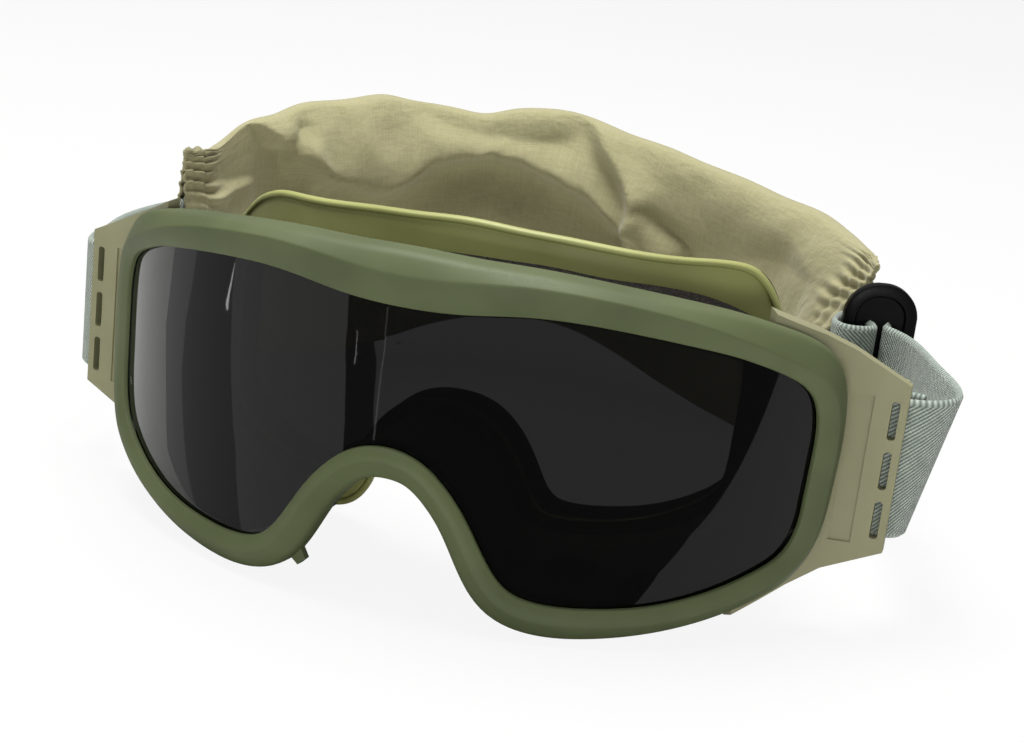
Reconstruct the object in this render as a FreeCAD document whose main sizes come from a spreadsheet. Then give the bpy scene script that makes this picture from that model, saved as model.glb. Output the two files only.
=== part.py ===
import FreeCAD, Part
import math
import os
from FreeCAD import Vector

# Wide-lens protective goggles. X is the wearer's side to side, -Y the way the lens
# faces, Z up, in millimetres. The origin is on the ground under the middle of the strap loop.

doc = FreeCAD.newDocument("goggles")
sheet = doc.addObject("Spreadsheet::Sheet", "Sizes")

SIZES = [
    ("lensRadius", 115, "outer radius of the cylindrical lens"),
    ("lensThick", 2.2, "lens wall"),
    ("lensAxis", 8, "Y of the lens cylinder's axis"),
    ("eyeLine", 56, "height of the wearer's eye line above the ground"),
    ("ridgeRise", 3, "how far the rim's ridge stands before the lens"),
    ("lipRise", 1.4, "how far the rim's inner edge stands before the lens"),
    ("grooveDepth", 2.6, "depth of the groove that holds the lens"),
    ("grooveGap", 0.15, "play of the lens in its groove"),
    ("wallThick", 2, "tunnel wall between rim and face flange"),
    ("flangeFront", -71, "Y of the face flange at the middle of the brow"),
    ("browRadius", 95, "radius of the forehead that the flange follows"),
    ("flangeThick", 1.8, "face flange"),
    ("foamThick", 11, "face foam"),
    ("linerThick", 1.2, "soft layer on the face foam"),
    ("beadRise", 1, "bead along the face flange's outer edge"),
    ("ventFoamThick", 3, "open-cell foam over the vents"),
    ("softGap", 0.3, "gap between a soft piece and its neighbour"),
    ("ventLong", 12, "one vent window, along the rim"),
    ("ventDeep", 12, "one vent window, front to back"),
    ("ventPitch", 18, "from one vent window to the next"),
    ("bossTall", 6.4, "hinge boss, upper end to lower end"),
    ("pivotAlong", 90, "hinge of an outrigger, measured round the lens from the middle"),
    ("pivotDepth", 6, "hinge of an outrigger, behind the lens face"),
    ("studRadius", 1.3, "hinge stud on each arm"),
    ("studPlay", 0.06, "radial play of a hinge stud"),
    ("studLong", 4, "hinge stud"),
    ("studRoom", 0.4, "free end of the bore past a stud"),
    ("bossRadius", 2.9, "hinge boss on the frame"),
    ("plateThick", 3, "outrigger wall"),
    ("slotLong", 9.35, "one of the three slots in an outrigger"),
    ("slotWide", 1.9, "width of a slot"),
    ("slotPitch", 12.3, "from one slot to the next"),
    ("barRadius", 1.8, "bar that the strap loops round"),
    ("strapWide", 35, "width of the elastic strap"),
    ("strapThick", 1.5, "thickness of the elastic strap"),
    ("strapLow", 23, "height of the strap's lower edge"),
    ("sliderWide", 20, "slider, across its three bars"),
    ("sliderTall", 51, "slider, along its bars"),
    ("sliderThick", 3.6, "slider"),
    ("sliderSlot", 3.4, "width of a slot in the slider"),
    ("sliderCorner", 7, "rounding of the slider's corners"),
    ("sliderTurn", 18, "angle of the slider across the strap"),
    ("clothThick", 1.2, "cloth of the cover sleeve"),
    ("hemLong", 6, "width of the elastic in each hem"),
    ("hemThick", 0.8, "thickness of the elastic in each hem"),
]
for row, (alias, value, note) in enumerate(SIZES, start=1):
    sheet.set("A%d" % row, alias)
    sheet.set("B%d" % row, str(value))
    sheet.set("C%d" % row, note)
    sheet.setAlias("B%d" % row, alias)
doc.recompute()


def size(alias):
    return float(sheet.get(alias))


def cell(alias):
    return "Sizes." + alias


LENS_RADIUS = size("lensRadius")
LENS_AXIS = size("lensAxis")
EYE_LINE = size("eyeLine")

# Half of the front, from the middle of the brow round the wearer's left side to the nose.
# Each station: distance round the lens from the middle and height above the eye line of the
# lens opening's edge; width of the rim band there; depth of the rim's back edge behind the
# lens face; how far the face flange reaches past the tunnel wall; where on the band, from
# its inner edge, the ridge runs.
STATION_ROWS = [
    (0, 16.5, 12.2, 7, 13.2, 0.60),
    (14, 17.1, 11.3, 7, 12.3, 0.66),
    (28.4, 18.6, 9.4, 7, 10.3, 0.74),
    (47, 17.9, 8.4, 7, 9.4, 0.74),
    (66.6, 15, 8.6, 6.5, 11, 0.60),
    (76, 13, 9.0, 5.2, 12.6, 0.46),
    (84, 10.5, 9.6, 3.6, 13.2, 0.38),
    (92, 7.2, 10.4, 3.2, 10.2, 0.36),
    (97.4, 3, 11.0, 2.4, 7.0, 0.40),
    (99.8, -3.2, 10.3, 1.8, 5.6, 0.46),
    (100, -12, 10.1, 1.6, 5.0, 0.50),
    (99.5, -21.5, 9.8, 1.6, 5.0, 0.50),
    (98.6, -29, 9.2, 1.8, 5.0, 0.50),
    (95.6, -34.4, 8.7, 2.4, 5.0, 0.50),
    (89.5, -38.2, 8.3, 3.2, 5.0, 0.48),
    (75, -43.6, 7.8, 4.4, 5.0, 0.46),
    (61, -46.6, 7.8, 4.8, 5.0, 0.45),
    (48, -47.6, 8.3, 4.8, 5.0, 0.45),
    (37.5, -47.2, 8.5, 4.8, 5.0, 0.45),
    (30.8, -45, 8.3, 4.8, 5.0, 0.45),
    (26, -40, 7.8, 4.8, 5.0, 0.44),
    (20.4, -30.8, 7.4, 4.8, 5.0, 0.42),
    (14.4, -23, 7.5, 4.8, 5.0, 0.40),
    (7.6, -17.8, 7.8, 4.8, 5.0, 0.38),
    (0, -16.1, 8.1, 4.8, 5.0, 0.38),
]
LANDING_WIDTH = 0.8      # the tunnel narrows towards the face by this share
LANDING_HEIGHT = 0.86
LANDING_LIFT = 2
FLANGE_INSIDE = -4       # inner edge of the flange and the pads, from where the wall lands
PAD_MARGIN = 2           # the pads stop this far inside the flange's outer edge

BOSSES = [("top", 8.0), ("bottom", -43.2)]       # lower end of each hinge boss, from the eye line
TOP_WINDOWS = (11, 25)                           # vent windows, from the eye line
LOW_WINDOWS = (-55, -36)
LOW_WINDOW_PLACES = (-57, -39, 39, 57)
NOSE_TAB_STATION = 39                            # where a small tab stands under the rim
TAB_RISE = 2.6
TAB_HALVES = (2.3, 1.5)                          # half of the tab's width at its root and its end
TAB_DEPTHS = (2.6, 4.7)                          # its front and back, behind the lens face

PLATE_BEND = (93.3, -56.2)       # where the arm's curve meets the flat plate, on the front face
PLATE_END = (106.7, -53.9)
ARM_TIP = 87.6                   # start of the arm, measured round the lens
ARM_CURVE_END = 103
# Front view of an outrigger and of the opening between its arms, from the eye line.
ARM_OUTLINE = [(70, 24.6), (106.7, 6), (106.7, -35.3), (93, -41.5), (70, -55.6)]
ARM_WINDOW = [(70, 14.9), (81, 14.9), (90.8, 6.8), (90.8, -36), (81, -43.7), (70, -43.7)]
ARM_LOW, ARM_TALL = -54, 80      # blank that the outline is cut from
SLOT_PLACE = (104, 1.8)          # X of the slots, and top of the highest one from the eye line
BAR_PLACE = (103.2, -46.8)       # the bar that the strap loops round, X and Y
BAR_END = 1                      # the bar is this much longer than the strap at each end
POST_SPAN = (4.4, 8.2, 2.2)      # the posts that carry the bar
POST_CORNER = (-2.2, -6.2)       # their corner, from the bar
RECESS_SPAN = (5.2, 1, 36.5)     # shallow recess in the plate's face, and its lower end
RECESS_LOW = -33.9

SLIDER_PLACE = (90.6, 24.5)
SLIDER_SLOTS = (-4.6, 4.6)       # middle of each slot, from the slider's middle
SLIDER_LIFT = 1                  # slider's middle above the strap's

# X, Y, width, lower edge and top edge of each oval section of the cover sleeve, and how far
# the loose fold on its inner side hangs out.
SLEEVE = [
    (-116.5, 16, 9.5, 17, 72, 0),
    (-115, 33, 12, 11, 74, 0.5),
    (-108, 56, 15, 3, 80.8, 1.5),
    (-94.6, 75, 16, 0, 85.2, 3.5),
    (-71, 91, 16, 9, 86.4, 5),
    (-40, 100, 16, 18.5, 88.5, 4),
    (-12, 102, 16, 17, 86.6, 5),
    (15, 98.5, 16, 7.5, 82, 3.5),
    (43, 88.6, 16, 0.8, 77.2, 1.5),
    (62, 75, 15, 0, 74.6, 1),
    (75, 59, 13, 3, 71.8, 0.5),
    (83.8, 34, 10, 14, 70.2, 0),
]
OVAL_SIDES = 14
FOLD_CORNER = 12                 # which corner of the oval the fold hangs from
FOLD_RECESS = 0.4                # the next corner below goes in by this share of the fold


def bent(along, height, depth):
    """A point of the flat front pattern, rolled round the lens axis."""
    angle = along / LENS_RADIUS
    radius = LENS_RADIUS - depth
    return Vector(radius * math.sin(angle), LENS_AXIS - radius * math.cos(angle), EYE_LINE + height)


class Station:
    """One place along the rim: its point on the opening's edge, its outward direction, its sizes."""

    def __init__(self, point, tangent, sizes, ridge):
        self.along, self.height = point.x, point.y
        self.outAlong, self.outUp = -tangent.y, tangent.x
        self.band, self.back, self.reach = sizes
        self.ridge = ridge * self.band
        self.wallStart = 4.2 - 0.44 * (self.back - 1.6)


def smoothStations():
    """The rows of the table and the points halfway between them, on smooth curves."""
    points = [Vector(row[0], row[1], 0) for row in STATION_ROWS]
    sizes = [Vector(*row[2:5]) for row in STATION_ROWS]
    ridges = [row[5] for row in STATION_ROWS]
    places = [0]
    for before, after in zip(points, points[1:]):
        places.append(places[-1] + before.distanceToPoint(after))
    outline, widths = Part.BSplineCurve(), Part.BSplineCurve()
    outline.interpolate(Points=points, Parameters=places,
                        InitialTangent=Vector(1, 0, 0), FinalTangent=Vector(-1, 0, 0))
    widths.interpolate(Points=sizes, Parameters=places)
    stations = []
    for before, after, ridge, nextRidge in zip(places, places[1:], ridges, ridges[1:]):
        for place, share in ((before, ridge), ((before + after) / 2, (ridge + nextRidge) / 2)):
            stations.append(Station(outline.value(place), outline.tangent(place)[0],
                                    widths.value(place), share))
    end = places[-1]
    stations.append(Station(outline.value(end), Vector(-1, 0, 0), widths.value(end), ridges[-1]))
    return stations


STATIONS = smoothStations()


def rimPoint(station, out, depth):
    return bent(station.along + out * station.outAlong, station.height + out * station.outUp, depth)


def flangePoint(station, out, depth):
    """A point of the face flange: out from where the tunnel wall lands on it, depth behind it."""
    x = LANDING_WIDTH * LENS_RADIUS * math.sin(station.along / LENS_RADIUS) + out * station.outAlong
    y = size("flangeFront") + x * x / (2 * size("browRadius")) + depth
    return Vector(x, y, EYE_LINE + LANDING_HEIGHT * station.height + LANDING_LIFT + out * station.outUp)


def closedWire(points):
    return Part.makePolygon(points + points[:1])


def flattened(points):
    """The four corners of an end section, moved the little it takes to lie in one plane."""
    normal = (points[2] - points[0]).cross(points[3] - points[1]).normalize()
    middle = (points[0] + points[1] + points[2] + points[3]) * 0.25
    return [point - normal * (point - middle).dot(normal) for point in points]


def otherSide(points):
    return [Vector(-point.x, point.y, point.z) for point in points]


def flatFace(points):
    return Part.Face(closedWire(points))


def skin(sections, closed=False):
    """A solid skinned with flat faces over a run of sections that have equally many corners."""
    run = list(zip(sections, sections[1:]))
    faces = [] if closed else [flatFace(sections[0]), flatFace(sections[-1])]
    if closed:
        run.append((sections[-1], sections[0]))
    for near, far in run:
        for a, b, c, d in zip(near, near[1:] + near[:1], far[1:] + far[:1], far):
            if a.distanceToPoint(c) <= b.distanceToPoint(d):
                faces += [flatFace([a, b, c]), flatFace([a, c, d])]
            else:
                faces += [flatFace([a, b, d]), flatFace([b, c, d])]
    shell = Part.Shell(faces)
    shell.sewShape()
    solid = Part.Solid(shell)
    return solid if solid.Volume > 0 else solid.reversed()


def wholeRing(section):
    """The section at every station of the wearer's left half and, mirrored, of the right half."""
    half = [section(station) for station in STATIONS]
    return skin(half + [otherSide(points) for points in half[-2:0:-1]], closed=True)


def feature(label, shape):
    node = doc.addObject("Part::Feature", label)
    node.Label = label
    node.Shape = shape
    node.Placement = FreeCAD.Placement()
    return node


def frameSection(station):
    """The rim with its ridge and lens groove, and the tunnel wall that runs back from it."""
    band, back, start, ridge = station.band, station.back, station.wallStart, station.ridge
    wall, gap, groove = size("wallThick"), size("grooveGap"), size("grooveDepth")
    lensBack = size("lensThick") + gap
    lip = 1.0
    slope = ridge + 0.65 * (band - ridge)
    return [
        rimPoint(station, 0, -size("lipRise")),
        rimPoint(station, 0.5 * ridge, -2.4),
        rimPoint(station, ridge, -size("ridgeRise")),
        rimPoint(station, slope, -1.3),
        rimPoint(station, band, 0.9),
        rimPoint(station, band, back),
        rimPoint(station, start, back),
        flangePoint(station, wall / 2, 0.6),
        flangePoint(station, -wall / 2, 0.6),
        rimPoint(station, start - wall, lensBack + 2.2),
        rimPoint(station, -lip, lensBack + 1.6),
        rimPoint(station, -lip, lensBack),
        rimPoint(station, groove, lensBack),
        rimPoint(station, groove, -gap),
        rimPoint(station, 0, -gap),
    ]


def flangeSection(station):
    """The flange plate with a bead along its outer edge."""
    reach, thick = station.reach, size("flangeThick")
    return [
        flangePoint(station, FLANGE_INSIDE, 0),
        flangePoint(station, reach - 2.6, 0),
        flangePoint(station, reach - 1.4, -size("beadRise")),
        flangePoint(station, reach, -0.8),
        flangePoint(station, reach + 0.3, 0.8),
        flangePoint(station, reach - 0.6, thick),
        flangePoint(station, FLANGE_INSIDE, thick),
    ]


def padSection(start, thick, inside):
    """Section of a pad behind the flange, from start to start + thick behind its front."""
    def section(station):
        inner = FLANGE_INSIDE + inside
        outer = station.reach - PAD_MARGIN - inside
        return [
            flangePoint(station, inner, start),
            flangePoint(station, outer, start),
            flangePoint(station, outer - 0.5, start + thick),
            flangePoint(station, inner, start + thick),
        ]
    return section


def ventFoamSection(station):
    """Open-cell foam lying on the tunnel wall, from the rim's back to the flange."""
    thick, gap = size("ventFoamThick"), size("softGap")
    corners = []
    for away in (gap, gap + thick):
        start = rimPoint(station, station.wallStart + away, station.back + gap)
        end = flangePoint(station, size("wallThick") / 2 + away, 0)
        short = (start - end).normalize() * (size("beadRise") + 2 * gap)
        corners.append((start, end + short))
    (innerStart, innerEnd), (outerStart, outerEnd) = corners
    return [innerStart, outerStart, outerEnd, innerEnd]


def ventFoam(first, last):
    """Vent foam from one row of the table to another, or across the middle where first is 0."""
    sections = [ventFoamSection(station) for station in STATIONS[2 * first:2 * last + 1]]
    if first == 0:
        sections = [otherSide(points) for points in sections[:0:-1]] + sections
    sections[0], sections[-1] = flattened(sections[0]), flattened(sections[-1])
    return skin(sections)


def pivotPlace():
    """X and Y of the outrigger hinge on the wearer's left side."""
    place = bent(size("pivotAlong"), 0, size("pivotDepth"))
    return place.x, place.y


def bind(node, **links):
    for name, expression in links.items():
        node.setExpression(name.replace("_", "."), expression)
    return node


def cylinder(name, x, y, low, radius, height):
    post = doc.addObject("Part::Cylinder", name)
    post.Placement.Base = Vector(x, y, low)
    return bind(post, Radius=radius, Height=height)


def box(name, corner, spans, turn=0):
    block = doc.addObject("Part::Box", name)
    block.Length, block.Width, block.Height = spans
    block.Placement = FreeCAD.Placement(corner, FreeCAD.Rotation(Vector(0, 0, 1), turn))
    return block


def combine(kind, name, base, tool):
    node = doc.addObject(kind, name)
    node.Base, node.Tool = base, tool
    return node


def group(name, shapes):
    bundle = doc.addObject("Part::Compound", name)
    bundle.Links = shapes
    return bundle


def fuseAll(name, shapes):
    node = doc.addObject("Part::MultiFuse", name)
    node.Shapes = shapes
    return node


def ventWindow(name, x, y, low, high):
    window = box(name, Vector(0, 0, low), (1, 1, high - low))
    bind(window, Length=cell("ventLong"), Width=cell("ventDeep"))
    window.setExpression("Placement.Base.x", "%g - Sizes.ventLong / 2" % x)
    window.setExpression("Placement.Base.y", "%g - Sizes.ventDeep / 2" % y)
    return window


def noseTab():
    """A small tab under the rim, to the wearer's right of the nose, narrower at its free end."""
    station = STATIONS[NOSE_TAB_STATION]
    base, end = station.band - 1, station.band + TAB_RISE
    baseHalf, endHalf = TAB_HALVES
    sections = []
    for depth in TAB_DEPTHS:
        corners = []
        for out, half in ((base, -baseHalf), (base, baseHalf), (end, endHalf), (end, -endHalf)):
            along = station.along + out * station.outAlong + half * station.outUp
            height = station.height + out * station.outUp - half * station.outAlong
            corners.append(bent(-along, height, depth))
        sections.append(flattened(corners))
    return skin(sections)


def makeFrame():
    posts = [feature("frame_ring", wholeRing(frameSection)), feature("nose_tab", noseTab())]
    bores = []
    pivotX, pivotY = pivotPlace()
    for side, sideName in ((1, "left"), (-1, "right")):
        for name, low in BOSSES:
            label = "%s_%s" % (name, sideName)
            posts.append(cylinder("boss_" + label, side * pivotX, pivotY, EYE_LINE + low,
                                  cell("bossRadius"), cell("bossTall")))
            depth = size("studLong") + size("studRoom")
            mouth = low + size("bossTall") - depth if name == "top" else low
            bores.append(cylinder("bore_" + label, side * pivotX, pivotY, EYE_LINE + mouth,
                                  "Sizes.studRadius + Sizes.studPlay",
                                  "Sizes.studLong + Sizes.studRoom"))
    windows = []
    low, high = TOP_WINDOWS
    for step in range(-3, 4):
        x = step * size("ventPitch")
        y = -85.5 + 0.0051 * x * x       # halfway between rim and flange, both curved
        windows.append(ventWindow("top_window_%d" % (step + 3), x, y, EYE_LINE + low, EYE_LINE + high))
    low, high = LOW_WINDOWS
    for index, x in enumerate(LOW_WINDOW_PLACES):
        windows.append(ventWindow("low_window_%d" % index, x, -81, EYE_LINE + low, EYE_LINE + high))
    doc.recompute()
    solid = fuseAll("frame_solid", posts)
    return combine("Part::Cut", "frame", solid, group("frame_cuts", windows + bores))


def makeLens():
    """The lens wall between two cylinders, cut to the opening's outline plus what the groove holds."""
    upDown, sideways = size("grooveDepth") - 0.3, 0.5
    half = []
    for station in STATIONS[::2]:
        x = LENS_RADIUS * math.sin(station.along / LENS_RADIUS)
        half.append(Vector(x + sideways * station.outAlong, -LENS_RADIUS,
                           EYE_LINE + station.height + upDown * station.outUp))
    other = [Vector(-point.x, point.y, point.z) for point in half[-2:0:-1]]
    curve = Part.BSplineCurve()
    curve.interpolate(Points=half + other, PeriodicFlag=True)
    outline = feature("lens_outline", Part.Wire([curve.toShape()]))
    blank = doc.addObject("Part::Extrusion", "lens_blank")
    blank.Base = outline
    blank.Dir = Vector(0, 1, 0)
    blank.Solid = True
    blank.setExpression("LengthFwd", cell("lensRadius"))
    tube = []
    for name, radius in (("lens_front", cell("lensRadius")),
                         ("lens_back", "Sizes.lensRadius - Sizes.lensThick")):
        roll = cylinder(name, 0, 0, 0, radius, "2 * Sizes.eyeLine")
        roll.setExpression("Placement.Base.y", cell("lensAxis"))
        tube.append(roll)
    wall = combine("Part::Cut", "lens_wall", *tube)
    doc.recompute()
    return combine("Part::Common", "lens", wall, blank)


def originPlane(body, role):
    return [item for item in body.Origin.OriginFeatures if item.Role == role][0]


def sketchOn(body, role, name, lift=0):
    sketch = body.newObject("Sketcher::SketchObject", name)
    sketch.AttachmentSupport = [(originPlane(body, role), "")]
    sketch.MapMode = "FlatFace"
    sketch.AttachmentOffset = FreeCAD.Placement(Vector(0, 0, lift), FreeCAD.Rotation())
    return sketch


def drawLoop(sketch, corners):
    points = [Vector(x, y, 0) for x, y in corners]
    for start, end in zip(points, points[1:] + points[:1]):
        sketch.addGeometry(Part.LineSegment(start, end), False)


def fromEyeLine(corners):
    return [(x, EYE_LINE + height) for x, height in corners]


def drawSlot(sketch, x, low, high, half):
    """An upright slot with its corners cut off."""
    cut = half / 2
    drawLoop(sketch, [(x - half, low + cut), (x - half + cut, low), (x + half - cut, low),
                      (x + half, low + cut), (x + half, high - cut), (x + half - cut, high),
                      (x - half + cut, high), (x - half, high - cut)])


def pocketThrough(body, sketch, name):
    pocket = body.newObject("PartDesign::Pocket", name)
    pocket.Profile = sketch
    pocket.Type = "ThroughAll"
    pocket.Midplane = True
    return pocket


def drawArmPlan(sketch):
    """Plan of an outrigger: two arcs round the lens axis, then the flat plate."""
    thick = size("plateThick")
    front = size("pivotDepth") - thick / 2

    def onArc(along, depth):
        point = bent(along, 0, depth)
        return Vector(point.x, point.y, 0)

    middle = (ARM_TIP + ARM_CURVE_END) / 2
    near = [onArc(along, front) for along in (ARM_TIP, middle, ARM_CURVE_END)]
    far = [onArc(along, front + thick) for along in (ARM_TIP, middle, ARM_CURVE_END)]
    bendNear, endNear = Vector(*PLATE_BEND, 0), Vector(*PLATE_END, 0)
    bendFar, endFar = bendNear + Vector(-0.6, thick, 0), endNear + Vector(0, thick, 0)
    for arc in (near, far):
        sketch.addGeometry(Part.Arc(*arc), False)
    chain = [near[2], bendNear, endNear, endFar, bendFar, far[2]]
    for start, end in zip(chain, chain[1:]):
        sketch.addGeometry(Part.LineSegment(start, end), False)
    sketch.addGeometry(Part.LineSegment(far[0], near[0]), False)


def makeOutrigger():
    """The wearer's left outrigger: a clip with two arms, a flat plate, three slots and a bar."""
    body = doc.addObject("PartDesign::Body", "outrigger_plate")
    plan = sketchOn(body, "XY_Plane", "arm_plan", EYE_LINE + ARM_LOW)
    drawArmPlan(plan)
    pad = body.newObject("PartDesign::Pad", "arm_pad")
    pad.Profile = plan
    pad.Length = ARM_TALL
    doc.recompute()
    trim = sketchOn(body, "XZ_Plane", "arm_trim")
    drawLoop(trim, fromEyeLine([(60, -60), (120, -60), (120, 40), (60, 40)]))
    drawLoop(trim, fromEyeLine(ARM_OUTLINE))
    pocketThrough(body, trim, "arm_trim_cut")
    doc.recompute()
    window = sketchOn(body, "XZ_Plane", "arm_window")
    drawLoop(window, fromEyeLine(ARM_WINDOW))
    pocketThrough(body, window, "arm_window_cut")
    doc.recompute()
    slot = sketchOn(body, "XZ_Plane", "slot_sketch")
    slotX, slotTop = SLOT_PLACE[0], EYE_LINE + SLOT_PLACE[1]
    drawSlot(slot, slotX, slotTop - size("slotLong"), slotTop, size("slotWide") / 2)
    slotCut = pocketThrough(body, slot, "slot_cut")
    doc.recompute()
    row = body.newObject("PartDesign::LinearPattern", "slot_row")
    row.Originals = [slotCut]
    row.Direction = (slot, ["V_Axis"])
    row.Reversed = True
    row.Occurrences = 3
    row.setExpression("Length", "2 * Sizes.slotPitch")
    body.Tip = row
    doc.recompute()

    pivotX, pivotY = pivotPlace()
    armLow, armHigh = EYE_LINE + ARM_WINDOW[-1][1], EYE_LINE + ARM_WINDOW[0][1]
    studs = [cylinder("stud_top", pivotX, pivotY, armHigh - size("studLong"),
                      cell("studRadius"), "Sizes.studLong + 1"),
             cylinder("stud_bottom", pivotX, pivotY, armLow - 1,
                      cell("studRadius"), "Sizes.studLong + 1")]
    barX, barY = BAR_PLACE
    low = size("strapLow") - BAR_END
    high = size("strapLow") + size("strapWide") + BAR_END
    bar = cylinder("strap_bar", barX, barY, low, cell("barRadius"), "%g" % (high - low))
    posts = []
    for name, level in (("low_post", low - POST_SPAN[2]), ("high_post", high)):
        corner = Vector(barX + POST_CORNER[0], barY + POST_CORNER[1], level)
        posts.append(box(name, corner, POST_SPAN))
    whole = fuseAll("outrigger_whole", [body] + studs + [bar] + posts)
    turn = math.degrees(math.atan2(PLATE_END[1] - PLATE_BEND[1], PLATE_END[0] - PLATE_BEND[0]))
    corner = Vector(PLATE_BEND[0] + 0.6, PLATE_BEND[1] - 0.3, EYE_LINE + RECESS_LOW)
    recess = box("recess", corner, RECESS_SPAN, turn)
    left = combine("Part::Cut", "outrigger_left", whole, recess)
    right = doc.addObject("Part::Mirroring", "outrigger_right")
    right.Source = left
    right.Normal = Vector(1, 0, 0)
    return left, right


def roundedPath(corners, radii):
    """Straight runs through the corners, joined by tangent arcs of the given radii."""
    points = [Vector(x, y, 0) for x, y in corners]
    edges, start = [], points[0]
    for before, corner, after, radius in zip(points, points[1:], points[2:], radii):
        back = (before - corner).normalize()
        ahead = (after - corner).normalize()
        half = back.getAngle(ahead) / 2
        reach = radius / math.tan(half)
        middle = (back + ahead).normalize() * (radius / math.sin(half) - radius)
        first, last = corner + back * reach, corner + ahead * reach
        if start.distanceToPoint(first) > 1e-6:
            edges.append(Part.LineSegment(start, first).toShape())
        edges.append(Part.Arc(first, corner + middle, last).toShape())
        start = last
    edges.append(Part.LineSegment(start, points[-1]).toShape())
    return Part.Wire(edges)


def webbing(label, corners, radii):
    """Elastic webbing standing on edge along a path in plan."""
    path = roundedPath(corners, radii)
    path.translate(Vector(0, 0, size("strapLow")))
    start = Vector(*corners[0], size("strapLow"))
    ahead = (Vector(*corners[1], size("strapLow")) - start).normalize()
    side = Vector(-ahead.y, ahead.x, 0) * (size("strapThick") / 2)
    rise = Vector(0, 0, size("strapWide"))
    profile = closedWire([start - side, start + side, start + side + rise, start - side + rise])
    return feature(label, path.makePipeShell([profile], True, False))


def sleeveOval(index, inset, shift=0):
    """Corners of one upright oval section of the sleeve, square to its path."""
    x, y, width, low, high, fold = SLEEVE[index]
    before, after = SLEEVE[max(index - 1, 0)], SLEEVE[min(index + 1, len(SLEEVE) - 1)]
    ahead = Vector(after[0] - before[0], after[1] - before[1], 0).normalize()
    across = Vector(-ahead.y, ahead.x, 0)
    centre = Vector(x, y, (low + high) / 2) + ahead * shift
    tall, wide = (high - low) / 2 - inset, width / 2 - inset
    corners = []
    for side in range(OVAL_SIDES):
        turn = 2 * math.pi * side / OVAL_SIDES
        out = wide * math.sin(turn)
        if side == FOLD_CORNER:
            out -= fold
        elif side == FOLD_CORNER - 1:
            out += FOLD_RECESS * fold
        corners.append(centre + across * out + Vector(0, 0, tall * math.cos(turn)))
    return corners


def sleeveLoft(inset, overrun):
    """A tube through all the ovals; the overrun carries it on past both mouths."""
    last = len(SLEEVE) - 1
    ovals = [sleeveOval(0, inset, -overrun)] if overrun else []
    ovals += [sleeveOval(index, inset) for index in range(last + 1)]
    ovals += [sleeveOval(last, inset, overrun)] if overrun else []
    return skin(ovals)


def makeSleeve():
    cloth = size("clothThick")
    return feature("cover_sleeve", sleeveLoft(0, 0).cut(sleeveLoft(cloth, 3)))


def makeHem(label, index, inward):
    """A flat elastic ring inside the cloth, just within one mouth of the sleeve."""
    cloth, thick = size("clothThick") + 0.4, size("hemThick")
    first, last = inward, (1 + size("hemLong")) * inward
    outer = skin([sleeveOval(index, cloth, first), sleeveOval(index, cloth, last)])
    inner = skin([sleeveOval(index, cloth + thick, first - inward),
                  sleeveOval(index, cloth + thick, last + inward)])
    return feature(label, outer.cut(inner))


def makeSlider():
    body = doc.addObject("PartDesign::Body", "strap_slider")
    plate = sketchOn(body, "XZ_Plane", "slider_plate")
    wide, tall, corner = size("sliderWide") / 2, size("sliderTall") / 2, size("sliderCorner")
    x, y = wide - corner, tall - corner
    for start, end in [((-wide, -y), (-wide, y)), ((-x, tall), (x, tall)),
                       ((wide, y), (wide, -y)), ((x, -tall), (-x, -tall))]:
        plate.addGeometry(Part.LineSegment(Vector(*start, 0), Vector(*end, 0)), False)
    for quarter, centre in enumerate([(x, y), (-x, y), (-x, -y), (x, -y)]):
        circle = Part.Circle(Vector(*centre, 0), Vector(0, 0, 1), corner)
        arc = Part.ArcOfCircle(circle, quarter * math.pi / 2, (quarter + 1) * math.pi / 2)
        plate.addGeometry(arc, False)
    pad = body.newObject("PartDesign::Pad", "slider_pad")
    pad.Profile = plate
    pad.Midplane = True
    pad.setExpression("Length", cell("sliderThick"))
    doc.recompute()
    slots = sketchOn(body, "XZ_Plane", "slider_slots")
    half, reach = size("sliderSlot") / 2, size("strapWide") / 2 + size("softGap")
    low, high = -reach - SLIDER_LIFT, reach - SLIDER_LIFT
    for middle in SLIDER_SLOTS:
        drawLoop(slots, [(middle - half, low), (middle + half, low),
                         (middle + half, high), (middle - half, high)])
    pocketThrough(body, slots, "slider_cut")
    doc.recompute()
    turn = FreeCAD.Rotation(Vector(0, 0, 1), size("sliderTurn"))
    level = size("strapLow") + size("strapWide") / 2 + SLIDER_LIFT
    body.Placement = FreeCAD.Placement(Vector(*SLIDER_PLACE, level), turn)
    return body


def makeStraps():
    """Five lengths of one elastic band: two ends, two sides and the rear run inside the sleeve."""
    barLoop = [(100.2, -50.2), (100.2, -44.0)]
    runs = [
        ("strap_lead_left", [(116.6, -31.4), (117.4, -41.5), (110.5, -48.2)] + barLoop + [(109.6, -43.7)],
         [3, 6, 2.2, 2.2]),
        ("strap_lead_right", [(-116.1, -31.4), (-114.8, -38), (-110.4, -48)]
         + [(-x, y) for x, y in barLoop] + [(-109.2, -43.9)], [20, 4, 2.2, 2.2]),
        ("strap_side_left", [(116.6, -31), (109.8, -13.3), (96.5, 22), (93.7, 30), (84.9, 27.2),
                             (87.4, 19.3), (86.6, 12.6), (80, 12), (77.6, 20), (80.2, 29),
                             (83.8, 34), (81.9, 39.4)],
         [40, 60, 2.2, 2.2, 8, 2, 3, 8, 12, 2.2]),
        ("strap_side_right", [(-116.2, -31), (-119.5, -18), (-119.5, -4), (-117, 14)], [24, 40]),
        ("strap_rear", [(-116.9, 14.4), (-114, 40), (-96, 76), (-60, 97), (-5, 102.5), (50, 88),
                        (75, 59), (81.75, 39.8)], [40, 30, 40, 60, 60, 40]),
    ]
    return [webbing(*run) for run in runs]


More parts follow.
